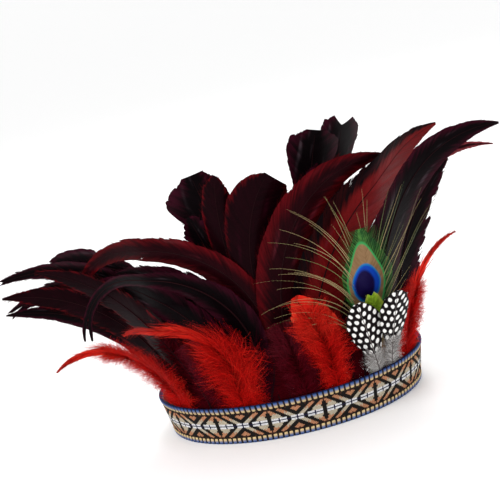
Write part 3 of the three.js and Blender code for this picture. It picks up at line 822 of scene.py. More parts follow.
LIME_DARK = 0.55
LIME_RIM = (0.6, 1.0)
LIME_RIM_SHARE = 0.6
LIME_RIM_COLOUR = (0.55, 0.6, 0.08)
LIME_FOOT = (0.2, 0.75)
LIME_FOOT_COLOUR = (0.2, 0.1, 0.05)


def lime_finish(dyes):
    """Lime green, yellower at its edge and brown towards its foot."""
    fibre = Fibre("lime_feather_finish")
    wire, streak = fibre.wire, fibre.streak
    colour = wire.mix(streak, darker(dyes.lime, LIME_DARK), dyes.lime)
    colour = wire.mix(fibre.edge.smooth(*LIME_RIM) * LIME_RIM_SHARE, colour, LIME_RIM_COLOUR)
    colour = wire.mix(1.0 - fibre.run.smooth(*LIME_FOOT), colour, LIME_FOOT_COLOUR)
    return fibre.close(colour, streak * SMALL_STREAK_ROUGH + SMALL_ROUGH, streak)


# The eye: its middle along the quill and across it, and its zones from the widest in. long and wide:
# half sizes in mm; up and out: how far its middle is moved, in mm; point: how pointed its top is;
# fade_in and fade_out: shares of its size over which its colour ends.
EYE_MIDDLE = (75 * MM, -1.5 * MM)
EYE_ZONES = by_name(table("""
name   long wide up out  point fade_in fade_out
line   32.2 13.4 2  0    0.55  0.98    1.06
field  31   12.5 2  0    0.55  0.96    1.02
halo   16   10   0  0    0.2   0.98    1.08
blue   16   10   0  0    0.2   0.86    0.98
violet 13.2 7.4  -1 -1.2 0.2   0.8     1.1
""", "long", "wide", "up", "out"))
EYE_GOLD = (0.07, 0.2, 0.035)
EYE_LINE_COLOUR = (0.04, 0.3, 0.08)
EYE_BRONZE_LIGHT = (0.32, 0.2, 0.1)
EYE_HALO_COLOUR = (0.01, 0.16, 0.4)
EYE_GREEN_DARK = 0.35
BRONZE_STREAKS = 0.7
# Painted shade in the gaps between the barbs round the eye, so many to the metre of quill
EYE_HAIRS = 330.0
EYE_HAIR_WAVER = 4.0
EYE_HAIR_EDGE = (0.3, 0.7)
EYE_GAP_SHADE_SHARE = 0.9
EYE_GAP_SHADE_COLOUR = 0.08
STRAND_GREEN = (0.05, 0.13, 0.03)
STRAND_GOLD = (0.4, 0.3, 0.15)
EYE_ROUGH = 0.38
EYE_METAL = 0.35
EYE_COAT = 0.1
EYE_COAT_ROUGH = 0.4


def in_zone(fibre, zone):
    """1 inside one of the eye's egg-shaped zones and 0 outside it."""
    up = (fibre.along - (EYE_MIDDLE[0] + zone["up"])) / zone["long"]
    out = (fibre.across - (EYE_MIDDLE[1] + zone["out"])) / zone["wide"]
    pinch = up.smooth(0.0, 1.0) * zone["point"] + 1.0
    away = (up**2.0 + (out * pinch)**2.0)**0.5
    return 1.0 - away.smooth(zone["fade_in"], zone["fade_out"])


def eye_finish(dyes):
    """The eye: violet in blue in bronze, a bright green line, and green barbs with a gold cast."""
    fibre = Fibre("peacock_feather_finish")
    wire, streak = fibre.wire, fibre.streak
    hair = fibre.lines(EYE_HAIRS, streak * EYE_HAIR_WAVER) * 0.5 + 0.5
    colour = wire.mix(streak, darker(dyes.leaf, EYE_GREEN_DARK), EYE_GOLD)
    # Painted shade in the gaps between the barbs, towards the vane's edge
    barb_gap_shade = hair * fibre.edge.smooth(*EYE_HAIR_EDGE) * EYE_GAP_SHADE_SHARE
    colour = wire.mix(barb_gap_shade, colour, darker(dyes.leaf, EYE_GAP_SHADE_COLOUR))
    bronze = wire.mix(streak * BRONZE_STREAKS, dyes.bronze, EYE_BRONZE_LIGHT)
    inside = {
        "line": EYE_LINE_COLOUR, "field": bronze, "halo": EYE_HALO_COLOUR,
        "blue": dyes.peacock_blue, "violet": dyes.violet,
    }
    for name, filling in inside.items():
        colour = wire.mix(in_zone(fibre, EYE_ZONES[name]), colour, filling)
    is_down = fibre.stuff > IS_DOWN
    strand = wire.mix(streak, dyes.olive, STRAND_GREEN)
    colour = wire.mix(is_down, colour, wire.mix(fibre.shade, strand, STRAND_GOLD))
    return fibre.close(colour, streak * STREAK_ROUGH + EYE_ROUGH, streak, {
        "Metallic": (1.0 - is_down) * EYE_METAL, "Coat Weight": EYE_COAT, "Coat Roughness": EYE_COAT_ROUGH,
    })


# A vane is cupped and one edge may turn back, both as shares of its room, and its barbs run outwards
# through COLUMNS points, more across than along at first
CUP = 0.75
TWIST = 0.6
COLUMNS = 7
EDGE_POWER = 1.2
# Its locks tilt, overlap, part here and there, and end raggedly, as shares of the barbs' reach
LOCK_TILT = 0.16 * MM
LOCK_TILT_SPREAD = 0.6
LOCK_OVERLAP = 0.5 * MM
OPENING = 1.6 * MM
OPEN_LOCKS = 0.12
OPENING_POWER = 4
SHORTER_LOCK = 0.3
RAGGED_BARB = 0.05
RAGGED_LOCK = 0.12
# A forked tip spreads by this much, and a little later than in step with the length
FORK_SPREAD = 2.4 * MM
FORK_POWER = 1.3
FORK_END = 1.01


def locks_of(rng, count, chance):
    """Which lock each of a row of barbs belongs to, and the rows once a lock's last barb is doubled."""
    lock = np.cumsum(rng.random(count) < chance)
    ends = np.append(lock[1:] != lock[:-1], False)
    order = np.repeat(np.arange(count), 1 + ends)
    doubled = np.append(False, order[1:] == order[:-1])
    number = lock[order] + doubled
    first = np.searchsorted(number, number)
    last = np.searchsorted(number, number, side="right") - 1
    within = (np.arange(len(order)) - first) / np.maximum(1, last - first)
    return order, number, within, number[1:] == number[:-1]


def vane_lift(feather, quill, share, across):
    """How far points of a vane stand out of its layer."""
    across_share = across / (feather["wide"] * KINDS[feather["kind"]]["width"] / 2)
    _, z = quill.spot(share, across)
    return room_at(z) * (CUP * across_share**2 + TWIST * feather["twist"] * across_share * share)


def add_vane(plumage, feather, quill, rng, side, start):
    """One side of a vane: barbs that hold together in locks, which part a little at the edge."""
    kind, fray = KINDS[feather["kind"]], feather["fray"]
    stop = 1 - feather["notch"]
    count = int((stop - start) * quill.length / kind["barb"])
    order, lock, within, joined = locks_of(rng, count, kind["barb"] / kind["lock"])
    root = np.linspace(start, stop, count)[order]
    forward = kind["forward"] * half_width(feather, root, side) / quill.length
    edge = root + forward * (1 - np.exp((root - 1) / forward))
    locks = lock[-1] + 1
    parts = rng.exponential(OPENING, locks)
    opening = parts * (rng.random(locks) < fray * OPEN_LOCKS) / quill.length
    shorter = 1 - SHORTER_LOCK * fray * rng.random(locks) ** 2
    tilt = LOCK_TILT * rng.normal(1, LOCK_TILT_SPREAD, locks)
    shade = rng.random(locks)
    ragged = 1 - RAGGED_BARB * fray * rng.random(len(order)) - RAGGED_LOCK * fray * (2 * within - 1) ** 2
    width = half_width(feather, edge, side)
    edge_share = np.linspace(0, 1, COLUMNS)
    out = edge_share * (shorter[lock] * ragged)[:, None]
    share = root[:, None] + (edge - root)[:, None] * out**EDGE_POWER
    share = share + (opening[lock] * (0.5 - within))[:, None] * out**OPENING_POWER
    share = share + LOCK_OVERLAP / quill.length * within[:, None] * out
    parted = np.clip((share - feather["fork"]) / (FORK_END - feather["fork"]), 0, 1) ** FORK_POWER
    across = side * (width[:, None] * out + parted * FORK_SPREAD * (feather["fork"] < 1))
    lift = vane_lift(feather, quill, share, across) + (tilt[lock] * (0.5 - within))[:, None] * out
    plumage.add_grid(
        quill.place(share, across, lift), joined, across=across, along=share * quill.length, edge=edge_share,
        shade=shade[lock][:, None], barb=(root * quill.length)[:, None], run=share,
    )
    return root, edge, width


SHAFT_SIDES = 6
SHAFT_STEPS = 56


def add_shaft(plumage, feather, quill, dress):
    """The quill itself: a tapered tube from its foot behind the ribbon to near the tip."""
    stop = min(dress["stop"], feather["fork"], 1 - feather["notch"])
    share = np.linspace(quill.share[0], stop, SHAFT_STEPS)
    radius = np.interp(share, (0, 1), (dress["shaft"], dress["tip"]))[:, None]
    turn = np.linspace(0, 2 * math.pi, SHAFT_SIDES, endpoint=False)
    points = quill.place(share[:, None], radius * np.cos(turn), radius * np.sin(turn))
    plumage.add_grid(points, wrap=True, along=(share * quill.length)[:, None], stuff=HORN, run=share[:, None])


# Thin ribbons are turned about their own line by up to this angle, in radians
MOST_TURNED = 0.9
# Added to lengths that are divided by, because a line may stand still
NO_LENGTH = 1e-9


def ribbons(quill, share, across, lift, width, rng):
    """Both edges of thin ribbons that follow rows of points, each turned by some angle."""
    along = share * quill.length
    step_along, step_across = np.gradient(along, axis=1), np.gradient(across, axis=1)
    length = np.hypot(step_along, step_across) + NO_LENGTH
    turned = rng.uniform(-MOST_TURNED, MOST_TURNED, len(share))[:, None]
    reach = width / 2
    flat = reach * np.cos(turned)
    points = [
        quill.place(
            share - side * flat * step_across / length / quill.length,
            across + side * flat * step_along / length,
            lift + side * reach * np.sin(turned),
        )
        for side in (-1, 1)
    ]
    return np.stack(points, axis=2)


def add_ribbons(plumage, points, **values):
    """Adds ribbons given as rows of pairs of points."""
    index = np.arange(points[..., 0].size).reshape(points.shape[:-1])
    plumage.add(points, quads=grid_faces(index), **values)


# Single barb ends: their width, where they start, as a share of the way to the vane's edge, how wide
# they still are at their end, and how far up the feather they may reach
HAIR_WIDTH = 0.22 * MM
HAIR_START = 0.86
HAIR_STEPS = 4
HAIR_BLUNT = 1.05
HAIR_STOP = 1.015


def add_fringe(plumage, feather, quill, rng, side, vane, dress):
    """Single barb ends that stand out past the vane's edge."""
    root, edge, width = vane
    count = int(dress["ends"])
    pick = rng.integers(0, len(root), count)
    out = np.linspace(HAIR_START, 1, HAIR_STEPS)
    past = (out - HAIR_START) / (1 - HAIR_START)
    reach = dress["end"] * rng.random(count)[:, None] / np.maximum(width[pick], 1 * MM)[:, None]
    grown = out * (1 + reach * past)
    share = root[pick][:, None] + (edge - root)[pick][:, None] * grown**EDGE_POWER
    share = np.minimum(share, HAIR_STOP)
    across = side * width[pick][:, None] * grown
    lift = vane_lift(feather, quill, share, across)
    add_ribbons(
        plumage, ribbons(quill, share, across, lift, HAIR_WIDTH * (HAIR_BLUNT - past), rng),
        across=across[..., None], along=(share * quill.length)[..., None], edge=1.0,
        shade=rng.random(count)[:, None, None], barb=(root[pick] * quill.length)[:, None, None],
        run=share[..., None],
    )


# Fluff starts a little below the vane's foot, leans FLUFF_TURN degrees more forward at the tip than at
# the foot, and curls. Barbs gather in tufts towards their ends, rise out of the layer by shares of the
# swell, which grows with the height above the seam, and taper.
FLUFF_START = -0.03
FLUFF_STOP = 1.02
FLUFF_TURN = 16
FLUFF_NEAR = 0.08
FLUFF_LENGTHS = (0.45, 1.15)
FLUFF_CURL = 0.12
FLUFF_CURL_BACK = 0.5
FLUFF_RISE = (-1, 0.35)
FLUFF_ARCH = 2.2
FLUFF_STEPS = 7
FLUFF_BLUNT = 1.08
BARBS_IN_TUFT = 16
TUFT_POWER = 1.6
SWELL_HEIGHT = 18 * MM
LEAST_SWELL = 0.1


def add_fluff(plumage, feather, quill, rng, dress):
    """Fluffy barbs on both sides of a quill, gathered in soft tufts, with short barbules on them."""
    count = int(dress["fluff"])
    root = FLUFF_START + (feather["downy"] - FLUFF_START) * rng.random(count) ** dress["crowd"]
    root.sort()
    side = rng.choice((-1, 1), count)
    angle = np.radians(rng.uniform(dress["steep"], dress["flat"], count) - FLUFF_TURN * root)
    near = np.maximum(root, FLUFF_NEAR)
    width = np.where(side > 0, half_width(feather, near, 1), half_width(feather, near, -1))
    length = np.maximum(dress["reach"] * width, dress["least"]) * rng.uniform(*FLUFF_LENGTHS, count)
    curl = rng.normal(FLUFF_CURL, dress["wild"], count)[:, None]
    rise = rng.uniform(*FLUFF_RISE, count) * dress["swell"]
    group = np.arange(count) // BARBS_IN_TUFT * 2 + (side > 0)
    _, leader, member = np.unique(group, return_index=True, return_inverse=True)
    u = np.linspace(0, 1, FLUFF_STEPS)
    ahead = length[:, None] * (np.cos(angle)[:, None] * u + curl * u**2)
    out = (side * length)[:, None] * (np.sin(angle)[:, None] * u - FLUFF_CURL_BACK * curl**2 * u**2)
    hold = dress["clump"] * u**TUFT_POWER
    ahead = ahead * (1 - hold) + ahead[leader][member] * hold
    out = out * (1 - hold) + out[leader][member] * hold
    share = np.minimum(root[:, None] + ahead / quill.length, FLUFF_STOP)
    _, z = quill.spot(share, out)
    height = np.clip((z - FAN_START) / SWELL_HEIGHT, LEAST_SWELL, 1)
    lift = rise[:, None] * np.sin(u * FLUFF_ARCH) * height
    shade = (rng.random(count) + rng.random(len(leader))[member]) / 2
    add_ribbons(
        plumage, ribbons(quill, share, out, lift, dress["thick"] * (FLUFF_BLUNT - u), rng),
        across=out[..., None], along=(share * quill.length)[..., None], edge=u[:, None],
        shade=shade[:, None, None], barb=(root * quill.length)[:, None, None], stuff=DOWN,
        run=share[..., None],
    )
    add_barbules(plumage, quill, rng, share, out, lift, shade, u, BARBULE_LENGTH)


# Barbules: their size, the angles at which they leave a barb in degrees, how their lengths vary, how
# they shorten along the barb, and how far their tips stray out of the layer
BARBULE_LENGTH = 1.8 * MM
BARBULE_WIDTH = 0.16 * MM
BARBULE_ANGLES = (30, 70)
BARBULE_LENGTHS = (0.5, 1.1)
BARBULE_FIRST = 1.15
BARBULE_SHORTENS = 0.6
BARBULE_STRAY = 0.3 * MM


def add_barbules(plumage, quill, rng, share, out, lift, shade, u, long):
    """A short pointed barbule on each step of each barb, to one side."""
    here = slice(1, None)
    along = share * quill.length
    step_along, step_out = np.diff(along, axis=1), np.diff(out, axis=1)
    length = np.hypot(step_along, step_out) + NO_LENGTH
    shape = length.shape
    side = rng.choice((-1, 1), shape)
    angle = side * np.radians(rng.uniform(*BARBULE_ANGLES, shape))
    forward_along, forward_out = step_along / length, step_out / length
    way_along = forward_along * np.cos(angle) - forward_out * np.sin(angle)
    way_out = forward_along * np.sin(angle) + forward_out * np.cos(angle)
    reach = long * rng.uniform(*BARBULE_LENGTHS, shape) * (BARBULE_FIRST - BARBULE_SHORTENS * u[here])
    base_along, base_out, base_lift = along[:, here], out[:, here], lift[:, here]
    tip_lift = base_lift + rng.normal(0, BARBULE_STRAY, shape)
    corners = [
        (base_along + way * forward_along, base_out + way * forward_out, base_lift)
        for way in (-BARBULE_WIDTH / 2, BARBULE_WIDTH / 2)
    ]
    corners.append((base_along + reach * way_along, base_out + reach * way_out, tip_lift))
    points = np.stack([quill.place(a / quill.length, o, i) for a, o, i in corners], axis=2)
    triangles = np.arange(points[..., 0].size).reshape(-1, 3)
    plumage.add(
        points, triangles=triangles, across=out[:, here, None], along=along[:, here, None],
        edge=u[here][:, None], shade=shade[:, None, None], stuff=DOWN, run=share[:, here, None],
    )


def ribbon_point(turn, up, out):
    """Points of the ribbon: a turn round the head, a way up its face and a way out of its inner face."""
    turn, up, out = np.broadcast_arrays(turn, up, out)
    wide = out * math.cos(RIBBON_FLARE) + up * math.sin(RIBBON_FLARE)
    x = (HEAD_HALF_LENGTH + wide) * np.cos(turn)
    y = (HEAD_HALF_WIDTH + wide) * np.sin(turn)
    return np.stack([x, y, up * math.cos(RIBBON_FLARE)], -1)


# Turns round the band, the way round the middle of its face up to each, and the way to the front
ARC_STEPS = 3600
TURNS = np.linspace(0, 2 * math.pi, ARC_STEPS + 1)
MIDDLE_LINE = ribbon_point(TURNS, RIBBON_WIDTH / 2, RIBBON_THICKNESS)
ARC = np.append(0, np.cumsum(np.linalg.norm(np.diff(MIDDLE_LINE, axis=0), axis=1)))
ROUND = ARC[-1]
FRONT = np.interp(1.5 * math.pi, TURNS, ARC)


def ribbon_at(around, up, out):
    """Points of the ribbon, as ribbon_point's, by the way round it."""
    return ribbon_point(np.interp(around % ROUND, ARC, TURNS), up, out)


THREAD_LETTERS = {"K": "black", "B": "brown", "N": "navy", "W": "white", "C": "cream", "S": "salmon"}

# Yarn: its fuzz darkens it, and so do its shade and the painted shade in the gaps between its plies
THREAD_FUZZ = 1800.0
THREAD_FUZZ_DETAIL = 3.0
THREAD_FUZZ_BAND = (0.35, 0.75)
THREAD_FUZZ_SHARE = 0.2
THREAD_SHADE_SHARE = 0.25
THREAD_DARKENING = (0.02, 0.015, 0.012)
THREAD_GAP = (0.5, 1.0)
THREAD_GAP_SHARE = 0.5
THREAD_GAP_SHADE_COLOUR = (0.008, 0.006, 0.006)
THREAD_ROUGH = 0.62
THREAD_FUZZ_ROUGH = 0.2
THREAD_DEPTH = 0.08 * MM
THREAD_GLOSS = 0.1


def thread_finish(name):
    """Yarn: the dye that the mesh holds, uneven along the thread, with fine plies and painted shade between
    them.
    """
    material, wire = new_material(name)
    _, _, ply = wire.values("place")
    shade, _, _ = wire.values("tone")
    where = wire.node("ShaderNodeTexCoord", {}, {}, out=3)
    fuzz = wire.noise(where, THREAD_FUZZ, THREAD_FUZZ_DETAIL)
    # Darker in the fuzz and by each thread's shade
    darkening = shade * THREAD_SHADE_SHARE + fuzz.smooth(*THREAD_FUZZ_BAND) * THREAD_FUZZ_SHARE
    colour = wire.mix(darkening, wire.held("dye", 0), THREAD_DARKENING)
    # Painted shade in the gaps between the plies
    ply_gap_shade = abs(ply - 1.0).smooth(*THREAD_GAP) * THREAD_GAP_SHARE
    colour = wire.mix(ply_gap_shade, colour, THREAD_GAP_SHADE_COLOUR)
    plies = wire.math("SINE", ply * (2 * math.pi))
    close_material(wire, {
        "Base Color": colour, "Roughness": fuzz * THREAD_FUZZ_ROUGH + THREAD_ROUGH,
        "Normal": bump(wire, plies * 0.5 + fuzz, THREAD_DEPTH), "Specular IOR Level": THREAD_GLOSS,
    })
    return material


def give_dye(piece, dye):
    """Holds a dye for each point of a piece."""
    values = piece.data.attributes.new("dye", "FLOAT_VECTOR", "POINT")
    values.data.foreach_set("vector", dye.astype(np.float32).ravel())


# The ribbon's ground: rows of weft, floats of brown thread in a white noise of their own, and warps
WEFT_PITCH = 0.8 * MM
WARP_PITCH = 0.7 * MM
FLOAT_LENGTH = 2.4 * MM
FLOAT_SHIFT = 0.37
FLOAT_BAND = (0.7, 0.8)
FLOAT_SHARE = 0.6
CLOTH_ROUGH = 0.75
CLOTH_ROUGH_SPREAD = 0.1
CLOTH_DEPTH = 0.12 * MM
CLOTH_GLOSS = 0.2


def cloth_finish(settings):
    """The ribbon's ground and its back: dark threads with floats that show through in short bars."""
    material, wire = new_material("ribbon_cloth_finish")
    around, up, _ = wire.values("place")
    row = (up / WEFT_PITCH).floor()
    place = wire.vector(row, (around / FLOAT_LENGTH + row * FLOAT_SHIFT).floor(), 0.0)
    pick = wire.node("ShaderNodeTexWhiteNoise", {"noise_dimensions": "2D"}, {"Vector": place})
    warp = wire.math("SINE", around * (2 * math.pi / WARP_PITCH))
    weft = wire.math("SINE", up * (2 * math.pi / WEFT_PITCH))
    floats = pick.smooth(*FLOAT_BAND) * FLOAT_SHARE
    close_material(wire, {
        "Base Color": wire.mix(floats, settings.black, settings.brown),
        "Roughness": pick * CLOTH_ROUGH_SPREAD + CLOTH_ROUGH,
        "Normal": bump(wire, warp * 0.5 + weft, CLOTH_DEPTH), "Specular IOR Level": CLOTH_GLOSS,
    })
    return material


CLOTH_STEPS = 360
CLOTH_RISES = 6
CLOTH_ROUNDING = 0.35 * MM


def make_cloth(settings, material):
    """The ribbon's own cloth: a thin wall all the way round."""
    cloth = Plumage()
    around = np.linspace(0, ROUND, CLOTH_STEPS + 1)[:, None]
    face = np.linspace(settings.border, RIBBON_WIDTH - settings.border, CLOTH_RISES)
    up = np.array([0, CLOTH_ROUNDING, *face, RIBBON_WIDTH - CLOTH_ROUNDING, RIBBON_WIDTH])
    out = np.full(len(up), RIBBON_THICKNESS)
    out[[0, -1]] -= CLOTH_ROUNDING
    up = np.concatenate([up, up[::-1]])
    out = np.concatenate([out, RIBBON_THICKNESS - out])
    cloth.add_grid(ribbon_at(around, up, out), wrap=True, across=around, along=up)
    return cloth.finish("ribbon_cloth", material, "woven_ribbon", "woven_band")


# A float of thread: the points of its patch, in squares of the chart from its middle, the four faces
# between them, how high each point stands, how far the float slants, and how its height varies
PATCH = np.array([(i, j) for i in (-1, 0, 1) for j in (-1, 0, 1)]) / 2
PATCH_FACES = np.array([(0, 3, 4, 1), (1, 4, 5, 2), (3, 6, 7, 4), (4, 7, 8, 5)])
PATCH_RISE = np.array([0, 0.35, 0, 0.6, 1, 0.6, 0, 0.35, 0])
FLOAT_SLANT = 0.18
FLOAT_BASE = 0.1
FLOAT_HEIGHTS = (0.75, 1.05)
# How far the figured field runs under the border stitches
FIELD_TUCK = 0.3 * MM


def make_pattern(settings, material):
    """The figured field: a float of thread for each square of the chart, all round the ribbon."""
    rows, columns = len(CHART), len(CHART[0]) - 1
    wide = ROUND / (REPEATS * columns * 2)
    tall = (RIBBON_WIDTH / 2 - settings.border + FIELD_TUCK) / (rows - 0.5)
    rng = np.random.default_rng(SEED)
    step, row = np.meshgrid(np.arange(REPEATS * columns * 2), np.arange(1 - rows, rows), indexing="ij")
    step, row = step.ravel(), row.ravel()
    place = columns - np.abs(columns - step % (columns * 2))
    dyes = {letter: np.array(getattr(settings, name)) for letter, name in THREAD_LETTERS.items()}
    dye = np.array([dyes[CHART[abs(r)][p]] for r, p in zip(row, place)])
    u = (step + 0.5)[:, None] + PATCH[:, 0]
    v = row[:, None] + PATCH[:, 1] + FLOAT_SLANT * PATCH[:, 0] * 2 * (1 - np.abs(PATCH[:, 1]))
    rise = FLOAT_BASE + PATCH_RISE * rng.uniform(*FLOAT_HEIGHTS, len(step))[:, None]
    lift = RIBBON_THICKNESS + settings.thread_rise * rise
    points = ribbon_at(FRONT + CROSSING + (u - 0.5) * wide, RIBBON_WIDTH / 2 + v * tall, lift)
    base = (np.arange(len(step)) * len(PATCH))[:, None, None]
    field = Plumage()
    field.add(
        points, quads=base + PATCH_FACES, across=u * wide, along=v * tall, edge=(PATCH[:, 1] + 0.5) * 2,
        shade=rng.random(len(step))[:, None],
    )
    piece = field.finish("ribbon_pattern", material, "woven_ribbon")
    give_dye(piece, np.repeat(dye, len(PATCH), axis=0))
    return piece


# The way of a border stitch: how far in from the edge, as a share of the border, and how far out of
# the cloth, from its back at -1 to its face at 1
WRAP_IN = np.array((1.0, 0.94, 0.7, 0.45, 0.2, 0.03, -0.03, -0.02, 0.05, 0.35, 0.6))
WRAP_OUT = np.array((0.05, 0.6, 0.95, 1.0, 1.0, 0.8, 0.3, -0.5, -0.95, -1.0, -1.0))[:, None]
STITCH_PLIES = 3
STITCH_GROOVE = 0.3
STITCH_CROWN = 0.9
STITCH_ROUND = 0.97
STITCH_BACK = 0.4
STITCH_SWAY = 0.12 * MM
STITCH_LEAN = 0.35 * MM
STITCH_WIDTHS = (0.92, 1.05)
STITCH_REACHES = (0.97, 1.03)
STITCH_SHADE = 0.5
# How many plies of relief the yarn's finish shows to each side of a stitch's middle
STITCH_PLY = 0.75
# Where along a stitch gold turns to blue, and blue to the edge's navy, and over how much
GOLD_FROM = 0.42
GOLD_OVER = 0.12
NAVY_OVER = 0.16


def make_borders(settings, material):
    """Overcast stitches over both edges: bundles of thread, blue at the edge and gold inside."""
    count = int(round(ROUND / settings.stitch_pitch))
    rng = np.random.default_rng(SEED + 1)
    across = np.linspace(-1, 1, STITCH_PLIES * 4 + 1)
    grooves = np.abs(np.cos(across * math.pi / 2 * STITCH_PLIES)) * STITCH_GROOVE
    ridge = grooves + np.sqrt(1 - across**2 * STITCH_ROUND) * STITCH_CROWN
    fold = RIBBON_THICKNESS / 2
    lift = fold + WRAP_OUT * (fold + STITCH_RISE * ridge * np.where(WRAP_OUT > 0, 1, STITCH_BACK))
    gold, blue, navy = (np.array(getattr(settings, name)) for name in ("gold", "blue", "navy"))
    inner = np.clip((WRAP_IN - GOLD_FROM) / GOLD_OVER, 0, 1)[:, None]
    rim = np.clip(1 - WRAP_IN / NAVY_OVER, 0, 1)[:, None]
    tint = (blue * (1 - inner) + gold * inner) * (1 - rim) + navy * rim
    border, dye = Plumage(), []
    for top in (False, True):
        middle = (np.arange(count) + 0.5 * top) * ROUND / count
        sway = rng.normal(0, STITCH_SWAY, count) + STITCH_LEAN
        width = settings.stitch_width / 2 * rng.uniform(*STITCH_WIDTHS, count)
        reach = settings.border * rng.uniform(*STITCH_REACHES, count)
        u = middle[:, None, None] + across * width[:, None, None] + sway[:, None, None] * WRAP_IN[:, None]
        up = np.broadcast_to(reach[:, None, None] * WRAP_IN[:, None], u.shape)
        if top:
            up = RIBBON_WIDTH - up
        points = ribbon_at(u, up, lift)
        index = np.arange(points[..., 0].size).reshape(points.shape[:-1])
        border.add(
            points, quads=grid_faces(index), across=u, along=up, edge=1 + across * STITCH_PLY,
            shade=rng.random(count)[:, None, None] * STITCH_SHADE,
        )
        dye.append(np.broadcast_to(tint[None, :, None, :], (*points.shape[:3], 3)).reshape(-1, 3))
    piece = border.finish("ribbon_border_stitches", material, "woven_ribbon")
    give_dye(piece, np.concatenate(dye))
    return piece


CORD_SIDES = 8
CORD_IN = 0.8
CORD_SUNK = 0.3 * MM


def make_cords(settings, material):
    """A thin navy cord along each edge, under the stitches."""
    cords = Plumage()
    around = np.linspace(0, ROUND, CLOTH_STEPS + 1)[:, None]
    angle = np.linspace(0, 2 * math.pi, CORD_SIDES, endpoint=False)
    half = RIBBON_THICKNESS / 2
    out = half + (settings.edge_cord + half - CORD_SUNK) * np.sin(angle)
    for middle in (settings.edge_cord * CORD_IN, RIBBON_WIDTH - settings.edge_cord * CORD_IN):
        up = middle + settings.edge_cord * np.cos(angle)
        cords.add_grid(ribbon_at(around, up, out), wrap=True, across=around, along=middle)
    piece = cords.finish("ribbon_edge_cords", material, "woven_ribbon")
    give_dye(piece, np.broadcast_to(np.array(settings.navy), (cords.total, 3)))
    return piece


class HEADDRESS_OT_ribbon(bpy.types.Operator):
    """Makes the woven ribbon: its cloth, its figured field, its border stitches and edge cords"""

    bl_idname = "headdress.ribbon"
    bl_label = "Woven Ribbon"

    def execute(self, context):
        settings = context.scene.headdress_ribbon
        yarn = thread_finish("ribbon_yarn_finish")
        make_cloth(settings, cloth_finish(settings))
        make_pattern(settings, yarn)
        make_borders(settings, yarn)
        make_cords(settings, yarn)
        return {"FINISHED"}


def feathers_of(*kinds):
    """The feathers of these kinds, each dressed, with the generator of its chances."""
    for number, feather in enumerate(FEATHERS):
        if feather["kind"] not in kinds:
            continue
        quill, rng = Quill(feather), np.random.default_rng(SEED + SEED_STEP * number)
        dress = DRESSES[KINDS[feather["kind"]]["dress"]]
        plumage = Plumage()
        sides = (-1, 1) if feather["downy"] < 1 else ()
        for side in sides:
            vane = add_vane(plumage, feather, quill, rng, side, dress["vane"])
            if dress["ends"]:
                add_fringe(plumage, feather, quill, rng, side, vane, dress)
        add_shaft(plumage, feather, quill, dress)
        if feather["downy"]:
            add_fluff(plumage, feather, quill, rng, dress)
        yield feather, quill, plumage, rng


def close_feather(feather, plumage, material):
    """Ends a feather: its mesh stands for the frame's node."""
    name = feather["name"]
    return plumage.finish(f"{name}_plumage", material, SLOTS[feather["finish"]], name)


def make_feathers(finishes, *kinds):
    """Makes the feathers of these kinds, each with its finish."""
    for feather, _, plumage, _ in feathers_of(*kinds):
        close_feather(feather, plumage, finishes[feather["finish"]])


class HEADDRESS_OT_tail_feathers(bpy.types.Operator):
    """Makes the long dyed tail feathers of the fan"""

    bl_idname = "headdress.tail_feathers"
    bl_label = "Tail Feathers"

    def execute(self, context):
        dyes = context.scene.headdress_dyes
        names = ("black", "burgundy", "maroon", "red", "pink")
        finishes = {name: dyed_finish(FINISHES[name], dyes) for name in names}
        make_feathers(finishes, "sickle", "slender", "broad", "hooked", "swept", "spoon")
        return {"FINISHED"}


class HEADDRESS_OT_hackles(bpy.types.Operator):
    """Makes the scarlet hackles: a ball of down with a thin smooth tip"""

    bl_idname = "headdress.hackles"
    bl_label = "Hackles"

    def execute(self, context):
        dyes = context.scene.headdress_dyes
        make_feathers({"scarlet": soft_finish(FINISHES["scarlet"], dyes, HACKLE_TIP)}, "hackle")
        return {"FINISHED"}


class HEADDRESS_OT_down(bpy.types.Operator):
    """Makes the broad downy feathers, one scarlet and two of dark wine"""

    bl_idname = "headdress.down"
    bl_label = "Down Feathers"

    def execute(self, context):
        dyes = context.scene.headdress_dyes
        make_feathers({name: soft_finish(FINISHES[name], dyes) for name in ("scarlet", "wine")}, "down")
        return {"FINISHED"}


class HEADDRESS_OT_spotted_feathers(bpy.types.Operator):
    """Makes the small feathers at the right: two spotted ones and the lime one behind them"""

    bl_idname = "headdress.spotted_feathers"
    bl_label = "Spotted and Lime Feathers"

    def execute(self, context):
        dyes = context.scene.headdress_dyes
        make_feathers({"spotted": spotted_finish(dyes), "lime": lime_finish(dyes)}, "spotted")
        return {"FINISHED"}


# Loose strands: how many near the line of each herl, and how far each strays from it in its start, its
# length and its angles
STRANDS_PER_HERL = 4
STRAND_FIRST = 0.02
STRAND_LENGTHS = (0.75, 1.18)
STRAND_LEAN_SPREAD = 2.5
STRAND_BEND = 1.15
STRAND_BEND_SPREAD = 9
STRAND_LATE = 1.5
STRAND_STEPS = 44
STRAND_DEPTH = 0.8 * MM
STRAND_LIFTS = 6
STRAND_WIDTH = 0.65 * MM
STRAND_BLUNT = 1.15
STRAND_BARBULE = 1.1 * MM
STRAND_BARBULES = 4


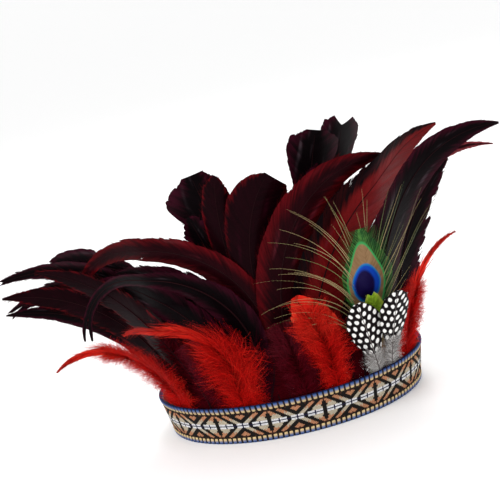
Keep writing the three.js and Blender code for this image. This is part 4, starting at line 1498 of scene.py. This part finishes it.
class HEADDRESS_OT_eye_feather(bpy.types.Operator):
    """Makes the eye feather: its ringed eye, its green fringe and its loose strands"""

    bl_idname = "headdress.eye_feather"
    bl_label = "Eye Feather"

    def execute(self, context):
        finish = eye_finish(context.scene.headdress_dyes)
        for feather, quill, plumage, rng in feathers_of("eye"):
            for herl in HERLS:
                for _ in range(STRANDS_PER_HERL):
                    self.add_strand(plumage, quill, rng, herl)
            close_feather(feather, plumage, finish)
        return {"FINISHED"}

    def add_strand(self, plumage, quill, rng, herl):
        """One strand near the line of a herl, feathered with short barbules."""
        at = max(STRAND_FIRST, herl["at"] + rng.normal(0, STRAND_FIRST))
        long = herl["long"] * rng.uniform(*STRAND_LENGTHS)
        lean = herl["lean"] + rng.normal(0, STRAND_LEAN_SPREAD)
        bend = herl["bend"] * STRAND_BEND + rng.normal(0, STRAND_BEND_SPREAD)
        strand = Herl(quill, at, long, lean, bend, STRAND_LATE)
        u = np.linspace(0, 1, STRAND_STEPS)
        lift = (STRAND_DEPTH * (np.minimum(1, u * STRAND_LIFTS) + rng.uniform(0, 1) * u))[None]
        line = np.zeros((1, STRAND_STEPS))
        rows = ribbons(strand, u[None], line, lift, STRAND_WIDTH * (STRAND_BLUNT - u), rng)
        shade = np.array([rng.random()])
        barb = rng.random()
        add_ribbons(plumage, rows, edge=u[:, None], shade=shade, barb=barb, stuff=DOWN, run=u[:, None])
        for _ in range(STRAND_BARBULES):
            add_barbules(plumage, strand, rng, u[None], line, lift, shade, u, STRAND_BARBULE)


FLOOR_RADIUS = 90.0
FLOOR_SIDES = 96
FLOOR_ROUGH = 0.6
FOCAL_PIXELS = 1410.3
PICTURE_PIXELS = 500
SENSOR = 36.0
# Where the middle of the head opening falls in the picture, in pixels
OPENING_PIXEL = (297.0, 398.5)

# Lights: direction in degrees round and up, distance, size, power and colour
LIGHTS = table("""
name       round up  distance size power warm
key_light  -42   48  1.6      0.6  9     1.0
fill_light 48    30  1.8      1.0  3     0.98
back_light 165   50  1.6      0.8  8     1.0
""")


class HEADDRESS_OT_stage(bpy.types.Operator):
    """Makes the pale floor, the soft studio lights and the camera"""

    bl_idname = "headdress.stage"
    bl_label = "Stage"

    def execute(self, context):
        settings = context.scene.headdress_stage
        self.add_floor(context, settings)
        self.add_lights(context)
        self.add_camera(context, settings)
        self.light_world(context)
        context.scene.view_settings.view_transform = "Standard"
        return {"FINISHED"}

    def add_floor(self, context, settings):
        turn = np.linspace(0, 2 * math.pi, FLOOR_SIDES, endpoint=False)
        rim = FLOOR_RADIUS * np.stack([np.cos(turn), np.sin(turn), np.zeros(FLOOR_SIDES)], -1)
        mesh = bpy.data.meshes.new("floor")
        mesh.from_pydata(rim, [], [list(range(FLOOR_SIDES))])
        material, wire = new_material("floor_finish")
        close_material(wire, {"Base Color": as_colour(settings.floor), "Roughness": FLOOR_ROUGH})
        mesh.materials.append(material)
        floor = bpy.data.objects.new("floor", mesh)
        context.scene.collection.objects.link(floor)
        floor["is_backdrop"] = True

    def add_lights(self, context):
        for row in LIGHTS:
            light = bpy.data.lights.new(row["name"], "AREA")
            light.shape = "DISK"
            light.size = row["size"]
            light.energy = row["power"]
            light.color = (1.0, row["warm"], row["warm"])
            lamp = bpy.data.objects.new(row["name"], light)
            turn, up = math.radians(row["round"]), math.radians(row["up"])
            way = np.array([math.sin(turn) * math.cos(up), -math.cos(turn) * math.cos(up), math.sin(up)])
            lamp.location = way * row["distance"]
            lamp.rotation_euler = (math.pi / 2 - up, 0, turn)
            context.scene.collection.objects.link(lamp)

    def add_camera(self, context, settings):
        """Looks from the photograph's side: towards the middle of the picture, rolled as it is."""
        up, roll = settings.elevation, settings.roll
        back = Vector((0, -math.cos(up), math.sin(up)))
        right = Vector((1, 0, 0))
        above = back.cross(right)
        rolled_right = right * math.cos(roll) - above * math.sin(roll)
        rolled_up = right * math.sin(roll) + above * math.cos(roll)
        half = PICTURE_PIXELS / 2
        shown = rolled_right * (half - OPENING_PIXEL[0]) + rolled_up * (OPENING_PIXEL[1] - half)
        forward = (shown - back * FOCAL_PIXELS).normalized()
        side = forward.cross(rolled_up).normalized()
        data = bpy.data.cameras.new("camera")
        data.sensor_width = SENSOR
        data.lens = SENSOR * forward.dot(-back) ** -1 * FOCAL_PIXELS / PICTURE_PIXELS
        camera = bpy.data.objects.new("camera", data)
        camera.location = back * settings.distance
        camera.rotation_euler = Matrix((side, side.cross(forward), -forward)).transposed().to_euler()
        context.scene.collection.objects.link(camera)
        context.scene.camera = camera

    def light_world(self, context):
        world = bpy.data.worlds.new("studio")
        world.use_nodes = True
        world.node_tree.nodes.clear()
        wire = Wire(world.node_tree)
        glow = wire.node("ShaderNodeBackground", {}, {"Color": (1.0, 1.0, 1.0, 1.0), "Strength": 1.0})
        wire.node("ShaderNodeOutputWorld", {}, {"Surface": glow})
        context.scene.world = world


OPERATORS = (
    HEADDRESS_OT_ribbon,
    HEADDRESS_OT_tail_feathers,
    HEADDRESS_OT_hackles,
    HEADDRESS_OT_down,
    HEADDRESS_OT_spotted_feathers,
    HEADDRESS_OT_eye_feather,
    HEADDRESS_OT_stage,
)


class HEADDRESS_PT_pieces(bpy.types.Panel):
    """Lists the pieces of the headdress"""

    bl_idname = "HEADDRESS_PT_pieces"
    bl_label = "Feathered Headdress"
    bl_space_type = "VIEW_3D"
    bl_region_type = "UI"
    bl_category = "Headdress"

    def draw(self, context):
        for operator in OPERATORS:
            self.layout.operator(operator.bl_idname)
        for title in GROUPS:
            group = getattr(context.scene, title)
            box = self.layout.box()
            for name in group.__annotations__:
                box.prop(group, name)


GROUPS = {
    "headdress_ribbon": RibbonSettings,
    "headdress_dyes": FeatherSettings,
    "headdress_stage": StageSettings,
}


def register():
    for made in (*GROUPS.values(), *OPERATORS, HEADDRESS_PT_pieces):
        bpy.utils.register_class(made)
    for name, group in GROUPS.items():
        setattr(bpy.types.Scene, name, bpy.props.PointerProperty(type=group))


def unregister():
    for name in GROUPS:
        delattr(bpy.types.Scene, name)
    for made in (HEADDRESS_PT_pieces, *reversed(OPERATORS), *reversed(GROUPS.values())):
        bpy.utils.unregister_class(made)


def main():
    """Makes every piece."""
    register()
    bpy.ops.headdress.stage()
    bpy.ops.headdress.ribbon()
    bpy.ops.headdress.tail_feathers()
    bpy.ops.headdress.hackles()
    bpy.ops.headdress.down()
    bpy.ops.headdress.spotted_feathers()
    bpy.ops.headdress.eye_feather()
    boxes = {"cad": CAD_BOX, "visual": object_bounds()}
    sizes = {name: [[float(value) for value in corner] for corner in box] for name, box in boxes.items()}


if __name__ == "__main__":
    main()
